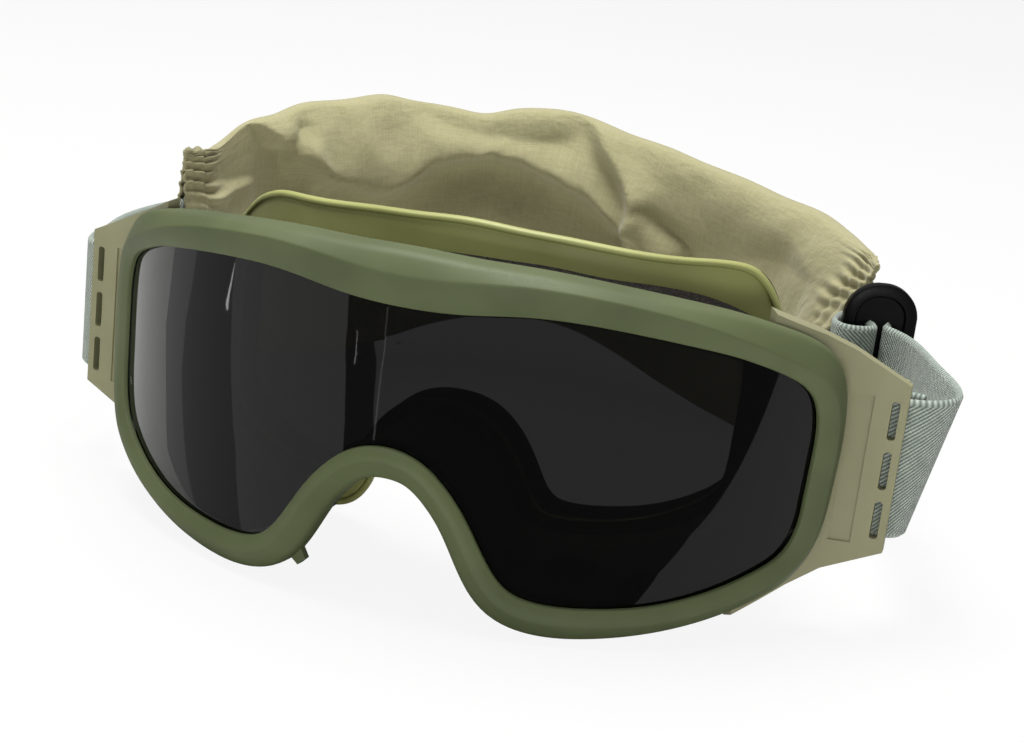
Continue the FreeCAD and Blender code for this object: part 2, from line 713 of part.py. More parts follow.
def makeSoftRings():
    """The face flange and its padding, and the open-cell foam over the vents."""
    flange, foam = size("flangeThick"), size("foamThick")
    lowFoam = ventFoam(15, 19)
    return [
        feature("face_flange", wholeRing(flangeSection)),
        feature("face_foam", wholeRing(padSection(flange, foam, 0))),
        feature("foam_liner", wholeRing(padSection(flange + foam, size("linerThick"), 0.5))),
        feature("top_vent_foam", ventFoam(0, 6)),
        feature("bottom_vent_foam_left", lowFoam),
        feature("bottom_vent_foam_right", lowFoam.mirror(Vector(), Vector(1, 0, 0))),
    ]


def checkDocument(nodes):
    doc.recompute()
    for item in doc.Objects:
        if "Invalid" in item.State or "Error" in item.State:
            raise RuntimeError("%s did not build" % item.Name)
    for node in nodes:
        if node.Shape.isNull() or not node.Shape.isValid() or not node.Shape.Solids:
            raise RuntimeError("%s has no valid solid" % node.Label)
        bounds = node.Shape.optimalBoundingBox(False)
        print("%-24s solids %d  volume %7.0f  x %6.1f %6.1f  y %6.1f %6.1f  z %5.1f %5.1f" % (
            node.Label, len(node.Shape.Solids), node.Shape.Volume, bounds.XMin, bounds.XMax,
            bounds.YMin, bounds.YMax, bounds.ZMin, bounds.ZMax))


nodes = [makeFrame(), makeLens()]
nodes += makeSoftRings()
nodes += makeOutrigger()
nodes += [makeSlider(), makeSleeve()]
nodes += [makeHem("hem_elastic_right", 0, 1), makeHem("hem_elastic_left", len(SLEEVE) - 1, -1)]
nodes += makeStraps()
checkDocument(nodes)

os.makedirs("parts", exist_ok=True)
for node in nodes:
    node.Shape.exportStep("parts/%s.step" % node.Label)
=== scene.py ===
import bmesh
import bpy
import math
import numpy as np
from mathutils import Matrix, Vector


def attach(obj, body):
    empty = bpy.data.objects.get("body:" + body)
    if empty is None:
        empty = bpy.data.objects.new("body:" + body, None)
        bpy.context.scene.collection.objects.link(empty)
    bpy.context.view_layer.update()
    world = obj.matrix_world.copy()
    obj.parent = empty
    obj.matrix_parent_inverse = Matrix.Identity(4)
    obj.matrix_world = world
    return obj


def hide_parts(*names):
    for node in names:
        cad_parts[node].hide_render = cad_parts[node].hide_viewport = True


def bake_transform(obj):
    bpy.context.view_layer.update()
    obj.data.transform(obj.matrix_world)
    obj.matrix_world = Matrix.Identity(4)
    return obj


# Wide-lens goggles: moulded rim, smoke lens, foam face seal, two outriggers, an elastic strap and a cloth
# sleeve. Shapes are worked out in millimetres and put into meshes in metres. X is the wearer's left, and
# the lens looks along -Y.

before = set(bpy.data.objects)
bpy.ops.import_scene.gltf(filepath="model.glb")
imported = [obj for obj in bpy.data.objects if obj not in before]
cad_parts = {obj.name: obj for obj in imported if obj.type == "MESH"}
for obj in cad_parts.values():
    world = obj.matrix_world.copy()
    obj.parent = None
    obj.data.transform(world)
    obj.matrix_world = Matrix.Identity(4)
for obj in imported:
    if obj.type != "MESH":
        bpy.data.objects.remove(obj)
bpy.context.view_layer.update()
mm = 0.001  # metres


def smoothThrough(rows, count, closed=False, measure=2):
    # the smoothest cubic through the rows: second derivatives from one linear system, steps as long as
    # the chords; count places are then taken evenly along it, and the first `measure` columns give its
    # length
    rows = np.asarray(rows, float)
    rows = np.vstack([rows, rows[:1]]) if closed else rows
    step = np.linalg.norm(np.diff(rows[:, :measure], axis=0), axis=1)
    place = np.concatenate([[0], np.cumsum(step)])
    n = len(rows)
    system, right = np.zeros((n, n)), np.zeros((n, rows.shape[1]))
    slope = np.diff(rows, axis=0) / step[:, None]
    inner = np.arange(1, n - 1)
    system[inner, inner - 1], system[inner, inner + 1] = step[:-1], step[1:]
    system[inner, inner] = 2 * (step[:-1] + step[1:])
    right[inner] = 6 * np.diff(slope, axis=0)
    if closed:
        system[0, [0, 1, n - 2]] = 2 * (step[0] + step[-1]), step[0], step[-1]
        right[0] = 6 * (slope[0] - slope[-1])
        system[n - 1, [0, n - 1]] = 1, -1
    else:
        system[0, 0] = system[n - 1, n - 1] = 1
    bend = np.linalg.solve(system, right)

    def at(t):
        k = np.clip(np.searchsorted(place, t, side="right") - 1, 0, n - 2)
        h, a = step[k][:, None], (place[k + 1] - t)[:, None]
        b = (t - place[k])[:, None]
        cubic = (bend[k] * a ** 3 + bend[k + 1] * b ** 3) / (6 * h)
        return cubic + (rows[k] / h - bend[k] * h / 6) * a + (rows[k + 1] / h - bend[k + 1] * h / 6) * b

    fine = np.linspace(0, place[-1], 4000)  # many short steps, to measure the length
    run = np.concatenate([[0], np.cumsum(np.linalg.norm(np.diff(at(fine)[:, :measure], axis=0), axis=1))])
    even = np.linspace(0, run[-1], count + 1 if closed else count)
    points = at(np.interp(even, run, fine))
    return points[:-1] if closed else points


def unit(vectors):
    # each vector divided by its length
    return vectors / np.maximum(np.linalg.norm(vectors, axis=-1, keepdims=True), 1e-12)


def roundedLoop(corners, reach, steps=4):
    # every corner of each closed section becomes a quadratic arc that starts and ends `reach` mm from the
    # corner, or a little less than half way along a side that is too short
    before, after = np.roll(corners, 1, axis=1) - corners, np.roll(corners, -1, axis=1) - corners
    reach = np.asarray(reach, float)[None, :]
    start = before * np.minimum(reach / np.linalg.norm(before, axis=2), 0.48)[..., None]
    end = after * np.minimum(reach / np.linalg.norm(after, axis=2), 0.48)[..., None]
    t = np.linspace(0, 1, steps + 1)[None, None, :, None]
    arcs = corners[:, :, None] + (1 - t) ** 2 * start[:, :, None] + t ** 2 * end[:, :, None]
    return arcs.reshape(len(corners), -1, 3)


def gridPiece(name, points, loopU=False, uv=None, material=None, sharp=None, ends=True):
    # a grid of points (along, around, xyz) in mm becomes quads, closed around and, with loopU, along too;
    # the ends of an open run are closed by flat faces; uv holds two rows of distances in mm, along and
    # around, so that a weave follows the surface at real size
    nu, nv = points.shape[:2]
    i, j = np.meshgrid(np.arange(nu if loopU else nu - 1), np.arange(nv), indexing="ij")
    i2, j2 = (i + 1) % nu, (j + 1) % nv
    quads = np.stack([i * nv + j, i2 * nv + j, i2 * nv + j2, i * nv + j2], -1).reshape(-1, 4)
    flat = points.reshape(-1, 3) * mm
    a, b, c, d = (flat[quads[:, k]] for k in range(4))
    volume = np.einsum("ij,ij->i", a, np.cross(b, c)).sum() + np.einsum("ij,ij->i", a, np.cross(c, d)).sum()
    turned = volume < 0  # the quads face inwards and are turned over
    faces = (quads[:, ::-1] if turned else quads).tolist()
    if ends and not loopU:
        first, last = list(range(nv)), list(range((nu - 1) * nv, nu * nv))
        faces += [first, last[::-1]] if turned else [first[::-1], last]
    mesh = bpy.data.meshes.new(name)
    mesh.from_pydata(flat.tolist(), [], faces)
    if uv is not None:
        along, around = (np.asarray(row, float) for row in uv)
        steps = ((0, 0), (1, 0), (1, 1), (0, 1))  # the four corners of a quad
        corner = np.stack([np.stack([along[i + di], around[j + dj]], -1) for di, dj in steps], 2)
        corner = corner.reshape(-1, 4, 2)
        corner = corner[:, ::-1] if turned else corner
        values = np.zeros((len(mesh.loops), 2), np.float32)
        values[:corner.shape[0] * 4] = corner.reshape(-1, 2)
        mesh.uv_layers.new(name="weave").data.foreach_set("uv", values.ravel())
    mesh.shade_smooth()
    if sharp:
        mesh.set_sharp_from_angle(angle=math.radians(sharp))
    mesh.update()
    piece = bpy.data.objects.new(name, mesh)
    bpy.context.scene.collection.objects.link(piece)
    if material:
        mesh.materials.append(material)
    return piece


def settle(piece, body, slot, *nodes):
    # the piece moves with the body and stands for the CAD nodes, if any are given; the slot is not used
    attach(piece, body)
    if nodes:
        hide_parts(*nodes)


def toLinear(hexText):
    # sRGB hex to the linear values that a shader takes
    value = np.array([int(hexText[k:k + 2], 16) for k in (0, 2, 4)]) / 255
    value = np.where(value <= 0.04045, value / 12.92, ((value + 0.055) / 1.055) ** 2.4)
    return (*value.tolist(), 1)


def addNode(tree, kind, values=None, links=None, **settings):
    # one node with its settings, the plain values of its sockets, and what is linked into them: an output,
    # or a node, which stands for its first output
    node = tree.nodes.new("ShaderNode" + kind)
    for key, value in settings.items():
        setattr(node, key, value)
    for key, value in (values or {}).items():
        node.inputs[key].default_value = value
    for key, source in (links or {}).items():
        output = source.outputs[0] if isinstance(source, bpy.types.Node) else source
        tree.links.new(output, node.inputs[key])
    return node


def newMaterial(name, colour, shader):
    # a material with its shader's plain numbers set on the sockets; gives back the material, its tree and
    # the shader
    material = bpy.data.materials.new(name)
    material.use_nodes = True
    tree = material.node_tree
    tree.nodes.clear()
    surface = addNode(tree, "BsdfPrincipled", {"Base Color": toLinear(colour), **shader})
    addNode(tree, "OutputMaterial", links={"Surface": surface})
    return material, tree, surface


def wireUp(tree, surface, colour, relief):
    # a mixed colour and a relief go into the shader
    tree.links.new(colour.outputs[2], surface.inputs["Base Color"])
    tree.links.new(relief.outputs[0], surface.inputs["Normal"])


def bandScale(pitch):
    # a wave texture's bands repeat every pi / 10 units, so this scale gives them a pitch in the
    # coordinates' units
    return math.pi / 10 / pitch


def mouldedPolymer(name, colours, roughness, grainMm, bump, gloss):
    # injection-moulded polymer: an even satin skin, a fine spark-eroded grain, and faint flow shades 30
    # mm across
    material, tree, surface = newMaterial(name, colours[0], {"IOR": 1.5, "Specular IOR Level": gloss})
    place = addNode(tree, "TexCoord").outputs["Object"]
    flow = addNode(tree, "TexNoise", {"Scale": 1 / (30 * mm), "Detail": 3.0}, {"Vector": place})
    shades = addNode(tree, "MapRange", {1: 0.38, 2: 0.62}, {0: flow})
    colour = addNode(tree, "Mix", {6: toLinear(colours[0]), 7: toLinear(colours[1])},
                     {0: shades}, data_type="RGBA")
    grain = addNode(tree, "TexNoise", {"Scale": 1 / (grainMm * mm), "Detail": 3.0, "Roughness": 0.6},
                    {"Vector": place})
    rough = addNode(tree, "MapRange", {1: 0.3, 2: 0.7, 3: roughness - 0.06, 4: roughness + 0.06},
                    {0: grain})
    tree.links.new(rough.outputs[0], surface.inputs["Roughness"])
    relief = addNode(tree, "Bump", {"Strength": bump, "Distance": 0.06 * mm}, {"Height": grain})
    wireUp(tree, surface, colour, relief)
    return material


def openCellFoam(name, dark, light, cellMm):
    # reticulated polyurethane foam, dark charcoal: round open cells between thin paler walls; each cell
    # darkens towards its middle, which is painted shade in the hollow
    material, tree, surface = newMaterial(name, dark, {"Roughness": 0.95, "Specular IOR Level": 0.1})
    place = addNode(tree, "TexCoord").outputs["Object"]
    cells = addNode(tree, "TexVoronoi", {"Scale": 1 / (cellMm * mm)}, {"Vector": place})
    walls = addNode(tree, "MapRange", {1: 0.25, 2: 0.7}, {0: cells.outputs["Distance"]})
    # painted shade: darker towards each cell's middle, where the hollow lies in shade
    colour = addNode(tree, "Mix", {6: toLinear(dark), 7: toLinear(light)}, {0: walls}, data_type="RGBA")
    relief = addNode(tree, "Bump", {"Strength": 0.9, "Distance": 0.4 * mm}, {"Height": walls})
    wireUp(tree, surface, colour, relief)
    return material


def smokedLens(name):
    # polycarbonate, injection moulded, dyed grey and hard coated: it passes under two per cent of the light
    shader = {"Roughness": 0.03, "IOR": 1.4, "Transmission Weight": 1.0, "Specular IOR Level": 0.27}
    return newMaterial(name, "242425", shader)[0]


def elasticWebbing(name):
    # woven elastic: covered rubber threads in diagonal ribs 0.8 mm apart, with beads of thread 0.7 mm
    # long on each, and a cord 1.3 mm wide in each edge; the low places between them are painted shade
    shader = {"Roughness": 0.85, "Specular IOR Level": 0.25, "Sheen Weight": 0.2}
    material, tree, surface = newMaterial(name, "9BA396", shader)
    halfWide, cordFrom, cordTo = 17.5, 16.1, 16.3  # mm from the strap's middle line
    lattice = addNode(tree, "UVMap", uv_map="weave")
    turned = addNode(tree, "Mapping", {"Rotation": (0, 0, math.radians(-42))}, {"Vector": lattice})
    fuzz = {"Detail": 1.0, "Detail Scale": 3.0}
    ribs = addNode(tree, "TexWave", {"Scale": bandScale(0.8), "Distortion": 0.5, **fuzz},
                   {"Vector": turned}, bands_direction="Y")
    beads = addNode(tree, "TexWave", {"Scale": bandScale(0.7), "Distortion": 0.8, **fuzz},
                    {"Vector": turned}, bands_direction="X")
    beadLift = addNode(tree, "MapRange", {3: 0.45, 4: 1}, {0: beads.outputs["Fac"]})
    field = addNode(tree, "Math", links={0: ribs.outputs["Fac"], 1: beadLift}, operation="MULTIPLY")
    apart = addNode(tree, "SeparateXYZ", links={0: lattice})
    across = addNode(tree, "Math", {1: halfWide}, {0: apart.outputs[1]}, operation="SUBTRACT")
    fromMiddle = addNode(tree, "Math", links={0: across}, operation="ABSOLUTE")
    edge = addNode(tree, "MapRange", {1: cordFrom, 2: cordTo}, {0: fromMiddle})
    cord = addNode(tree, "TexWave", {"Scale": bandScale(1.15), "Distortion": 0.4}, {"Vector": lattice},
                   bands_direction="X")
    cordLift = addNode(tree, "MapRange", {3: 0.1, 4: 0.42}, {0: cord.outputs["Fac"]})
    height = addNode(tree, "Mix", links={0: edge, 2: field, 3: cordLift}, data_type="FLOAT")
    tone = addNode(tree, "TexNoise", {"Scale": 0.35, "Detail": 3.0}, {"Vector": lattice})
    tones = addNode(tree, "MapRange", {1: 0.35, 2: 0.65}, {0: tone})
    thread = addNode(tree, "Mix", {6: toLinear("ABB5AA"), 7: toLinear("C3CBC0")}, {0: tones},
                     data_type="RGBA")
    # painted shade: where the weave is low, between ribs, beads and the cord's turns, the colour falls to
    # the shade colour 66726A
    paintedGrooveShade = addNode(tree, "MapRange", {1: 0.08, 2: 0.45}, {0: height})
    colour = addNode(tree, "Mix", {6: toLinear("66726A")}, {0: paintedGrooveShade, 7: thread.outputs[2]},
                     data_type="RGBA")
    relief = addNode(tree, "Bump", {"Strength": 0.9, "Distance": 0.4 * mm}, {"Height": height})
    wireUp(tree, surface, colour, relief)
    return material


def cottonCloth(name):
    # plain-woven cotton, washed soft: matt, a little crumpled, with slubs along both threads; the weave
    # is drawn at 0.55 mm, about twice the real spacing, so that it still shows, with painted shade between
    # the threads
    shader = {"Roughness": 0.95, "Specular IOR Level": 0.12, "Sheen Weight": 0.25}
    material, tree, surface = newMaterial(name, "A9A37C", shader)
    lattice = addNode(tree, "UVMap", uv_map="weave")
    threads, slubs = [], []
    for way, stretch in (("X", (0.06, 0.9, 1)), ("Y", (0.9, 0.06, 1))):
        threads.append(addNode(tree, "TexWave", {"Scale": bandScale(0.55), "Distortion": 1.2, "Detail": 1.0},
                               {"Vector": lattice}, bands_direction=way))
        drawn = addNode(tree, "Mapping", {"Scale": stretch}, {"Vector": lattice})
        slubs.append(addNode(tree, "TexNoise", {"Scale": 1.8, "Detail": 3.0, "Roughness": 0.6},
                             {"Vector": drawn}))
    weave = addNode(tree, "Math", links={0: threads[0].outputs["Fac"], 1: threads[1].outputs["Fac"]},
                    operation="ADD")
    slub = addNode(tree, "Math", links={0: slubs[0], 1: slubs[1]}, operation="ADD")
    tones = addNode(tree, "MapRange", {1: 0.8, 2: 1.2}, {0: slub})
    thread = addNode(tree, "Mix", {6: toLinear("9F9A74"), 7: toLinear("A9A47F")}, {0: tones},
                     data_type="RGBA")
    # painted shade: between the threads the colour falls towards the shade colour 8A8562
    paintedGrooveShade = addNode(tree, "MapRange", {1: -1.2, 2: 1.2}, {0: weave})
    colour = addNode(tree, "Mix", {6: toLinear("8A8562")}, {0: paintedGrooveShade, 7: thread.outputs[2]},
                     data_type="RGBA")
    crumple = addNode(tree, "TexNoise", {"Scale": 0.1, "Detail": 3.0, "Roughness": 0.55},
                      {"Vector": lattice})
    soft = addNode(tree, "Bump", {"Strength": 0.6, "Distance": 1.6 * mm}, {"Height": crumple})
    relief = addNode(tree, "Bump", {"Strength": 0.14, "Distance": 0.1 * mm},
                     {"Height": weave, "Normal": soft})
    wireUp(tree, surface, colour, relief)
    return material


rimPolymer = mouldedPolymer("mouldedNylonOliveDrab", ("515A3B", "5B6443"), 0.56, 0.5, 0.3, 0.28)
flangeElastomer = mouldedPolymer("softElastomerOlive", ("9B9E60", "A6A96A"), 0.45, 0.6, 0.12, 0.35)
outriggerPolymer = mouldedPolymer("mouldedNylonTan", ("8C8A6A", "969474"), 0.55, 0.45, 0.35, 0.3)
sliderPolymer = mouldedPolymer("acetalBlack", ("040404", "070708"), 0.38, 0.4, 0.2, 0.15)
foamMaterial = openCellFoam("reticulatedFoamCharcoal", "080707", "26231F", 0.75)
fleeceMaterial = openCellFoam("brushedFleeceGrey", "2A2826", "45413D", 0.4)
lensMaterial = smokedLens("hardCoatedPolycarbonateSmoke")
webbingMaterial = elasticWebbing("wovenElasticGreyGreen")
clothMaterial = cottonCloth("plainWovenCottonKhaki")
print("materials made")


front = {
    "lensRadius": 115, "lensAxis": 8, "eyeLine": 56, "around": 420, "lensThick": 2.2, "grooveDepth": 2.6,
    "grooveGap": 0.15, "lipRise": 1.4, "ridgeRise": 3.0, "wallThick": 2.0, "landingDepth": 0.6,
    "innerSlope": (0.5, -2.6), "outerSlope": ((0.5, -1.5), (0.88, -0.1)),  # share of the slope, and depth
    "edgeDepth": 1.5, "leastEdge": 2.2, "shelf": -1.0, "shelfDepths": (2.2, 1.6),  # the shelf backs the lens
    "wallOut": 4.2, "wallIn": 0.44, "leastBack": 1.6,  # the wall steps in where the rim's back is deeper
    "landingWidth": 0.8, "landingHeight": 0.86, "landingLift": 2,  # the tunnel narrows towards the flange
    "flangeFront": -71, "browRadius": 95, "flangeThick": 1.8, "flangeInside": -4, "beadRise": 1.0,
    "foamThick": 11, "linerThick": 1.2, "foamShort": 2, "ventFoamThick": 3, "softGap": 0.3, "softFill": 0.7,
    "beadSection": ((-1.9, 0), (-1.5, 0.15), (-1.1, -0.75), (-0.2, -0.95), (0.3, -0.3), (0.3, 1.0)),
    "askew": 0.012,  # the soft flange sits a little out of level
    "trim": 3.2, "trimAt": -86, "trimWide": 12,  # and is narrower above on the wearer's right
    "noseTrim": 4, "noseTrimWide": 26,  # and over the nose
    "lean": 0.3, "leanFull": 8,  # it leans back above the eye line
    "noseDrop": 5.5, "noseDropWide": 20, "noseDropFull": 12,  # and drops over the nose
    "lowDrop": 5, "lowDropFull": 40, "lowDropPower": 1.5,  # and along the bottom
}
# distance round the lens, height above the eye line, width of the band, depth of its back edge, reach of
# the flange, and the ridge's share of the band
rimTable = [
    (0, 16.5, 12.2, 7, 13.2, 0.60), (14, 17.1, 11.3, 7, 12.3, 0.66), (28.4, 18.6, 9.4, 7, 10.3, 0.74),
    (47, 17.9, 8.4, 7, 9.4, 0.74), (66.6, 15, 8.6, 6.5, 11, 0.60), (76, 13, 9.0, 5.2, 12.6, 0.46),
    (84, 10.5, 9.6, 3.6, 13.2, 0.38), (92, 7.2, 10.4, 3.2, 10.2, 0.36), (97.4, 3, 11.0, 2.4, 7.0, 0.40),
    (99.8, -3.2, 10.3, 1.8, 5.6, 0.46), (100, -12, 10.1, 1.6, 5.0, 0.50), (99.5, -21.5, 9.8, 1.6, 5.0, 0.50),
    (98.6, -29, 9.2, 1.8, 5.0, 0.50), (95.6, -34.4, 8.7, 2.4, 5.0, 0.50), (89.5, -38.2, 8.3, 3.2, 5.0, 0.48),
    (75, -43.6, 7.8, 4.4, 5.0, 0.46), (61, -46.6, 7.8, 4.8, 5.0, 0.45), (48, -47.6, 8.3, 4.8, 5.0, 0.45),
    (37.5, -47.2, 8.5, 4.8, 5.0, 0.45), (30.8, -45, 8.3, 4.8, 5.0, 0.45), (26, -40, 7.8, 4.8, 5.0, 0.44),
    (20.4, -30.8, 7.4, 4.8, 5.0, 0.42), (14.4, -23, 7.5, 4.8, 5.0, 0.40), (7.6, -17.8, 7.8, 4.8, 5.0, 0.38),
    (0, -16.1, 8.1, 4.8, 5.0, 0.38),
]


def frontStations(count):
    # the table and its mirror image as one closed loop; the outward direction is the loop's tangent
    # turned a quarter; the flange's reach is less by trim * exp(-((along - trimAt) / trimWide) ** 2)
    # above, and over the nose by noseTrim * exp(-(along / noseTrimWide) ** 4)
    f = front
    half = np.array(rimTable)
    loop = np.vstack([half, half[-2:0:-1] * [-1, 1, 1, 1, 1, 1]])
    rows = smoothThrough(loop, count, closed=True)
    ahead = unit((np.roll(rows, -1, axis=0) - np.roll(rows, 1, axis=0))[:, :2])
    along, up, band, back, reach, ridge = rows.T
    reach = reach - f["trim"] * np.exp(-((along - f["trimAt"]) / f["trimWide"]) ** 2) * (up > -6)
    reach = reach - f["noseTrim"] * np.exp(-(along / f["noseTrimWide"]) ** 4) * (up < 0)
    return {"along": along, "up": up, "band": band, "back": back, "reach": reach, "ridge": ridge,
            "outAlong": -ahead[:, 1], "outUp": ahead[:, 0],
            "wall": f["wallOut"] - f["wallIn"] * (back - f["leastBack"])}


def rolled(along, up, depth):
    # a point of the flat front pattern rolled round the lens axis: angle = distance / lens radius
    angle, radius = along / front["lensRadius"], front["lensRadius"] - depth
    return np.stack([radius * np.sin(angle), front["lensAxis"] - radius * np.cos(angle),
                     front["eyeLine"] + up], -1)


def rimPoint(s, out, depth):
    # the stations moved outwards in the flat pattern, then rolled
    return rolled(s["along"] + out * s["outAlong"], s["up"] + out * s["outUp"], depth + 0 * s["up"])


def flangePoint(s, out, depth):
    # out from where the tunnel lands on the flange, whose front is a parabola of the forehead's radius;
    # above, it leans back by lean * out; below it drops by lowDrop * (down / lowDropFull) **
    # lowDropPower, and over the nose by noseDrop * exp(-(along / noseDropWide) ** 2)
    f, along, up = front, s["along"], s["up"]
    x = f["landingWidth"] * f["lensRadius"] * np.sin(along / f["lensRadius"]) + out * s["outAlong"]
    y = f["flangeFront"] + x * x / (2 * f["browRadius"]) + depth
    y = y + f["lean"] * np.maximum(out, 0) * np.clip(up / f["leanFull"], 0, 1)
    z = f["eyeLine"] + f["landingHeight"] * up + f["landingLift"] + out * s["outUp"] + f["askew"] * x
    over = np.exp(-(along / f["noseDropWide"]) ** 2)
    z = z - f["noseDrop"] * over * np.clip(-up / f["noseDropFull"], 0, 1)
    z = z - f["lowDrop"] * np.clip(-up / f["lowDropFull"], 0, 1) ** f["lowDropPower"]
    return np.stack([x, y, z], -1)


def cutWith(piece, cutters):
    # takes each cutter's solid out of the piece, one after another
    for cutter in cutters:
        step = piece.modifiers.new("window", "BOOLEAN")
        step.operation, step.object, step.solver = "DIFFERENCE", cutter, "EXACT"
        bpy.context.view_layer.objects.active = piece
        bpy.ops.object.modifier_apply(modifier=step.name)
        bpy.data.objects.remove(cutter)


def roundedBox(low, high, corner):
    # an upright cutting box with round corners: clip(1.25 * cos, -1, 1) * (half - corner) + corner * cos
    # across, and the same with sin along, carried up
    turn = np.linspace(0, 2 * np.pi, 33)[:-1, None]
    half = (np.array(high) - low)[:2] / 2
    centre = (np.array(high) + low) / 2
    circle = np.concatenate([np.cos(turn), np.sin(turn)], -1)
    ring = np.clip(circle * 1.25, -1, 1) * (half - corner) + corner * circle
    points = np.stack([np.column_stack([ring + centre[:2], z + 0 * turn]) for z in (low[2], high[2])])
    return gridPiece("cutter", points)


vents = {
    "half": 6, "corner": 2, "above": (-54, -36, -18, 0, 18, 36, 54), "below": (-57, -39, 39, 57),
    "aboveY": -85.5, "aboveBend": 0.0051, "aboveZ": (67, 81), "belowY": (-87, -75), "belowZ": (1, 20),
}


def ventCutters():
    # the windows' boxes; those above follow y = aboveY + aboveBend * x ** 2
    v, boxes = vents, []
    for x in v["above"]:
        y = v["aboveY"] + v["aboveBend"] * x * x
        boxes.append(((x - v["half"], y - v["half"], v["aboveZ"][0]),
                      (x + v["half"], y + v["half"], v["aboveZ"][1])))
    for x in v["below"]:
        boxes.append(((x - v["half"], v["belowY"][0], v["belowZ"][0]),
                      (x + v["half"], v["belowY"][1], v["belowZ"][1])))
    return [roundedBox(low, high, v["corner"]) for low, high in boxes]


def makeRim():
    # the rim's crown, lens groove and tunnel wall as one closed section, points (out, depth), carried
    # round the opening
    s, f = frontStations(front["around"]), front
    band, wall, ridge = s["band"], s["wall"], s["ridge"] * s["band"]
    back, lensBack = np.maximum(s["back"], f["leastEdge"]), f["lensThick"] + f["grooveGap"]
    share, depth = f["innerSlope"]
    crown = [(0, -f["lipRise"]), (share * ridge, depth), (ridge, -f["ridgeRise"])]
    crown += [(ridge + share * (band - ridge), depth) for share, depth in f["outerSlope"]]
    crown += [(band, f["edgeDepth"]), (band, back), (wall, back)]
    landing = [(side * f["wallThick"] / 2, f["landingDepth"]) for side in (1, -1)]
    deep, less = f["shelfDepths"]
    shelf, lip = f["shelf"], -f["grooveGap"]
    groove = [(wall - f["wallThick"], lensBack + deep), (shelf, lensBack + less), (shelf, lensBack),
              (f["grooveDepth"], lensBack), (f["grooveDepth"], lip), (0, lip)]
    corners = [rimPoint(s, *point) for point in crown] + [flangePoint(s, *point) for point in landing]
    corners = np.stack(corners + [rimPoint(s, *point) for point in groove], 1)
    reach = [0.4, 2.0, 0.45, 1.6, 1.0, 0.8, 0.5, 1.2, 0.3, 0.3, 1.5, 0.5, 0.3, 0.3, 0.2, 0.25]
    rim = gridPiece("frontRim", roundedLoop(corners, reach), loopU=True, material=rimPolymer)
    cutWith(rim, ventCutters())
    rim.data.set_sharp_from_angle(angle=math.radians(50))
    settle(rim, "goggles", "frame_green", "frame")


hinge = {
    "along": 90, "depth": 6, "outer": 2.9, "bore": 1.36, "tall": 6.4, "studLong": 4.4, "chamfer": 0.4,
    "topZ": 64.0, "bottomZ": 12.8, "pole": 0.01,  # the outline starts and ends this near the axis
}


def makeHingeBosses():
    # four round bosses with blind bores: a stepped outline turned round the hinge axis
    h = hinge
    angle, radius = h["along"] / front["lensRadius"], front["lensRadius"] - h["depth"]
    x, y = radius * math.sin(angle), front["lensAxis"] - radius * math.cos(angle)
    turn = np.linspace(0, 2 * np.pi, 49)[:-1]
    outer, bore, tall, cut, floor = h["outer"], h["bore"], h["tall"], h["chamfer"], h["tall"] - h["studLong"]
    outline = np.array([(h["pole"], 0), (outer - cut, 0), (outer, cut), (outer, tall - cut),
                        (outer - cut, tall), (bore, tall), (bore, floor), (h["pole"], floor)])
    up, down = outline[:, 1], tall - outline[:, 1]
    for level, low, rise in (("Top", h["topZ"], up), ("Bottom", h["bottomZ"], down)):
        for side, sideName in ((1, "Left"), (-1, "Right")):
            points = np.stack([np.stack([side * x + r * np.cos(turn), y + r * np.sin(turn),
                                         low + z + 0 * turn], -1)
                               for r, z in zip(outline[:, 0], rise)])
            boss = gridPiece("hingeBoss" + level + sideName, points, material=rimPolymer, sharp=35)
            settle(boss, "goggles", "frame_green")


def makeFlange():
    # soft flange with a rolled bead along its outer edge: a closed section, points (out, depth), round
    # the opening
    s, f = frontStations(front["around"]), front
    inside, reach, thick = f["flangeInside"], s["reach"], f["flangeThick"]
    bead = [(reach + out, depth) for out, depth in f["beadSection"]]
    section = [(inside, 0), *bead, (reach - 0.6, thick), (inside, thick)]
    corners = np.stack([flangePoint(s, *point) for point in section], 1)
    points = roundedLoop(corners, [0.5, 0.2, 0.2, 0.35, 0.4, 0.4, 0.5, 0.6, 0.5])
    flange = gridPiece("faceFlange", points, loopU=True, material=flangeElastomer, sharp=50)
    settle(flange, "goggles", "flange_olive", "face_flange")


tab = {
    "station": (28.4, -42.7), "out": (-0.70, -0.71), "depths": (2.6, 4.7), "corner": 0.5,
    "ends": ((7.0, 2.3), (10.7, 1.5)),  # how far out each end lies, and half its width
}


def makeNoseTab():
    # a small tab under the rim, to the wearer's right of the nose: two square ends carried outwards and
    # rounded off
    along, up = tab["station"]
    outAlong, outUp = tab["out"]
    corners = []
    for out, half in tab["ends"]:
        for side, depth in ((-1, 0), (1, 0), (1, 1), (-1, 1)):
            corners.append(rolled(-(along + out * outAlong + side * half * outUp),
                                  up + out * outUp - side * half * outAlong, tab["depths"][depth]))
    points = roundedLoop(np.array(corners).reshape(2, 4, 3), [tab["corner"]] * 4)
    settle(gridPiece("noseTab", points, material=rimPolymer, sharp=40), "goggles", "frame_green")


def padRing(name, start, thick, inside, material, slot, node, rounding):
    # a pad behind the flange, a little narrower than it, with its rear edges rounded over
    s, f = frontStations(front["around"]), front
    low, high = f["flangeInside"] + inside, s["reach"] - f["foamShort"] - inside
    section = ((low, start), (high, start), (high - 0.5, start + thick), (low, start + thick))
    corners = np.stack([flangePoint(s, *point) for point in section], 1)
    points = roundedLoop(corners, [0.4, 0.4, rounding, rounding], 6)
    pad = gridPiece(name, points, loopU=True, material=material)
    settle(pad, "goggles", slot, node)


ventFoam = {
    "swellings": ((1.2, 4, 20), (-1.4, 42, 18)),  # rise, middle and width
    "pressed": (1.6, 16, 14),  # depth, where it starts on the wearer's right, run to full depth
}


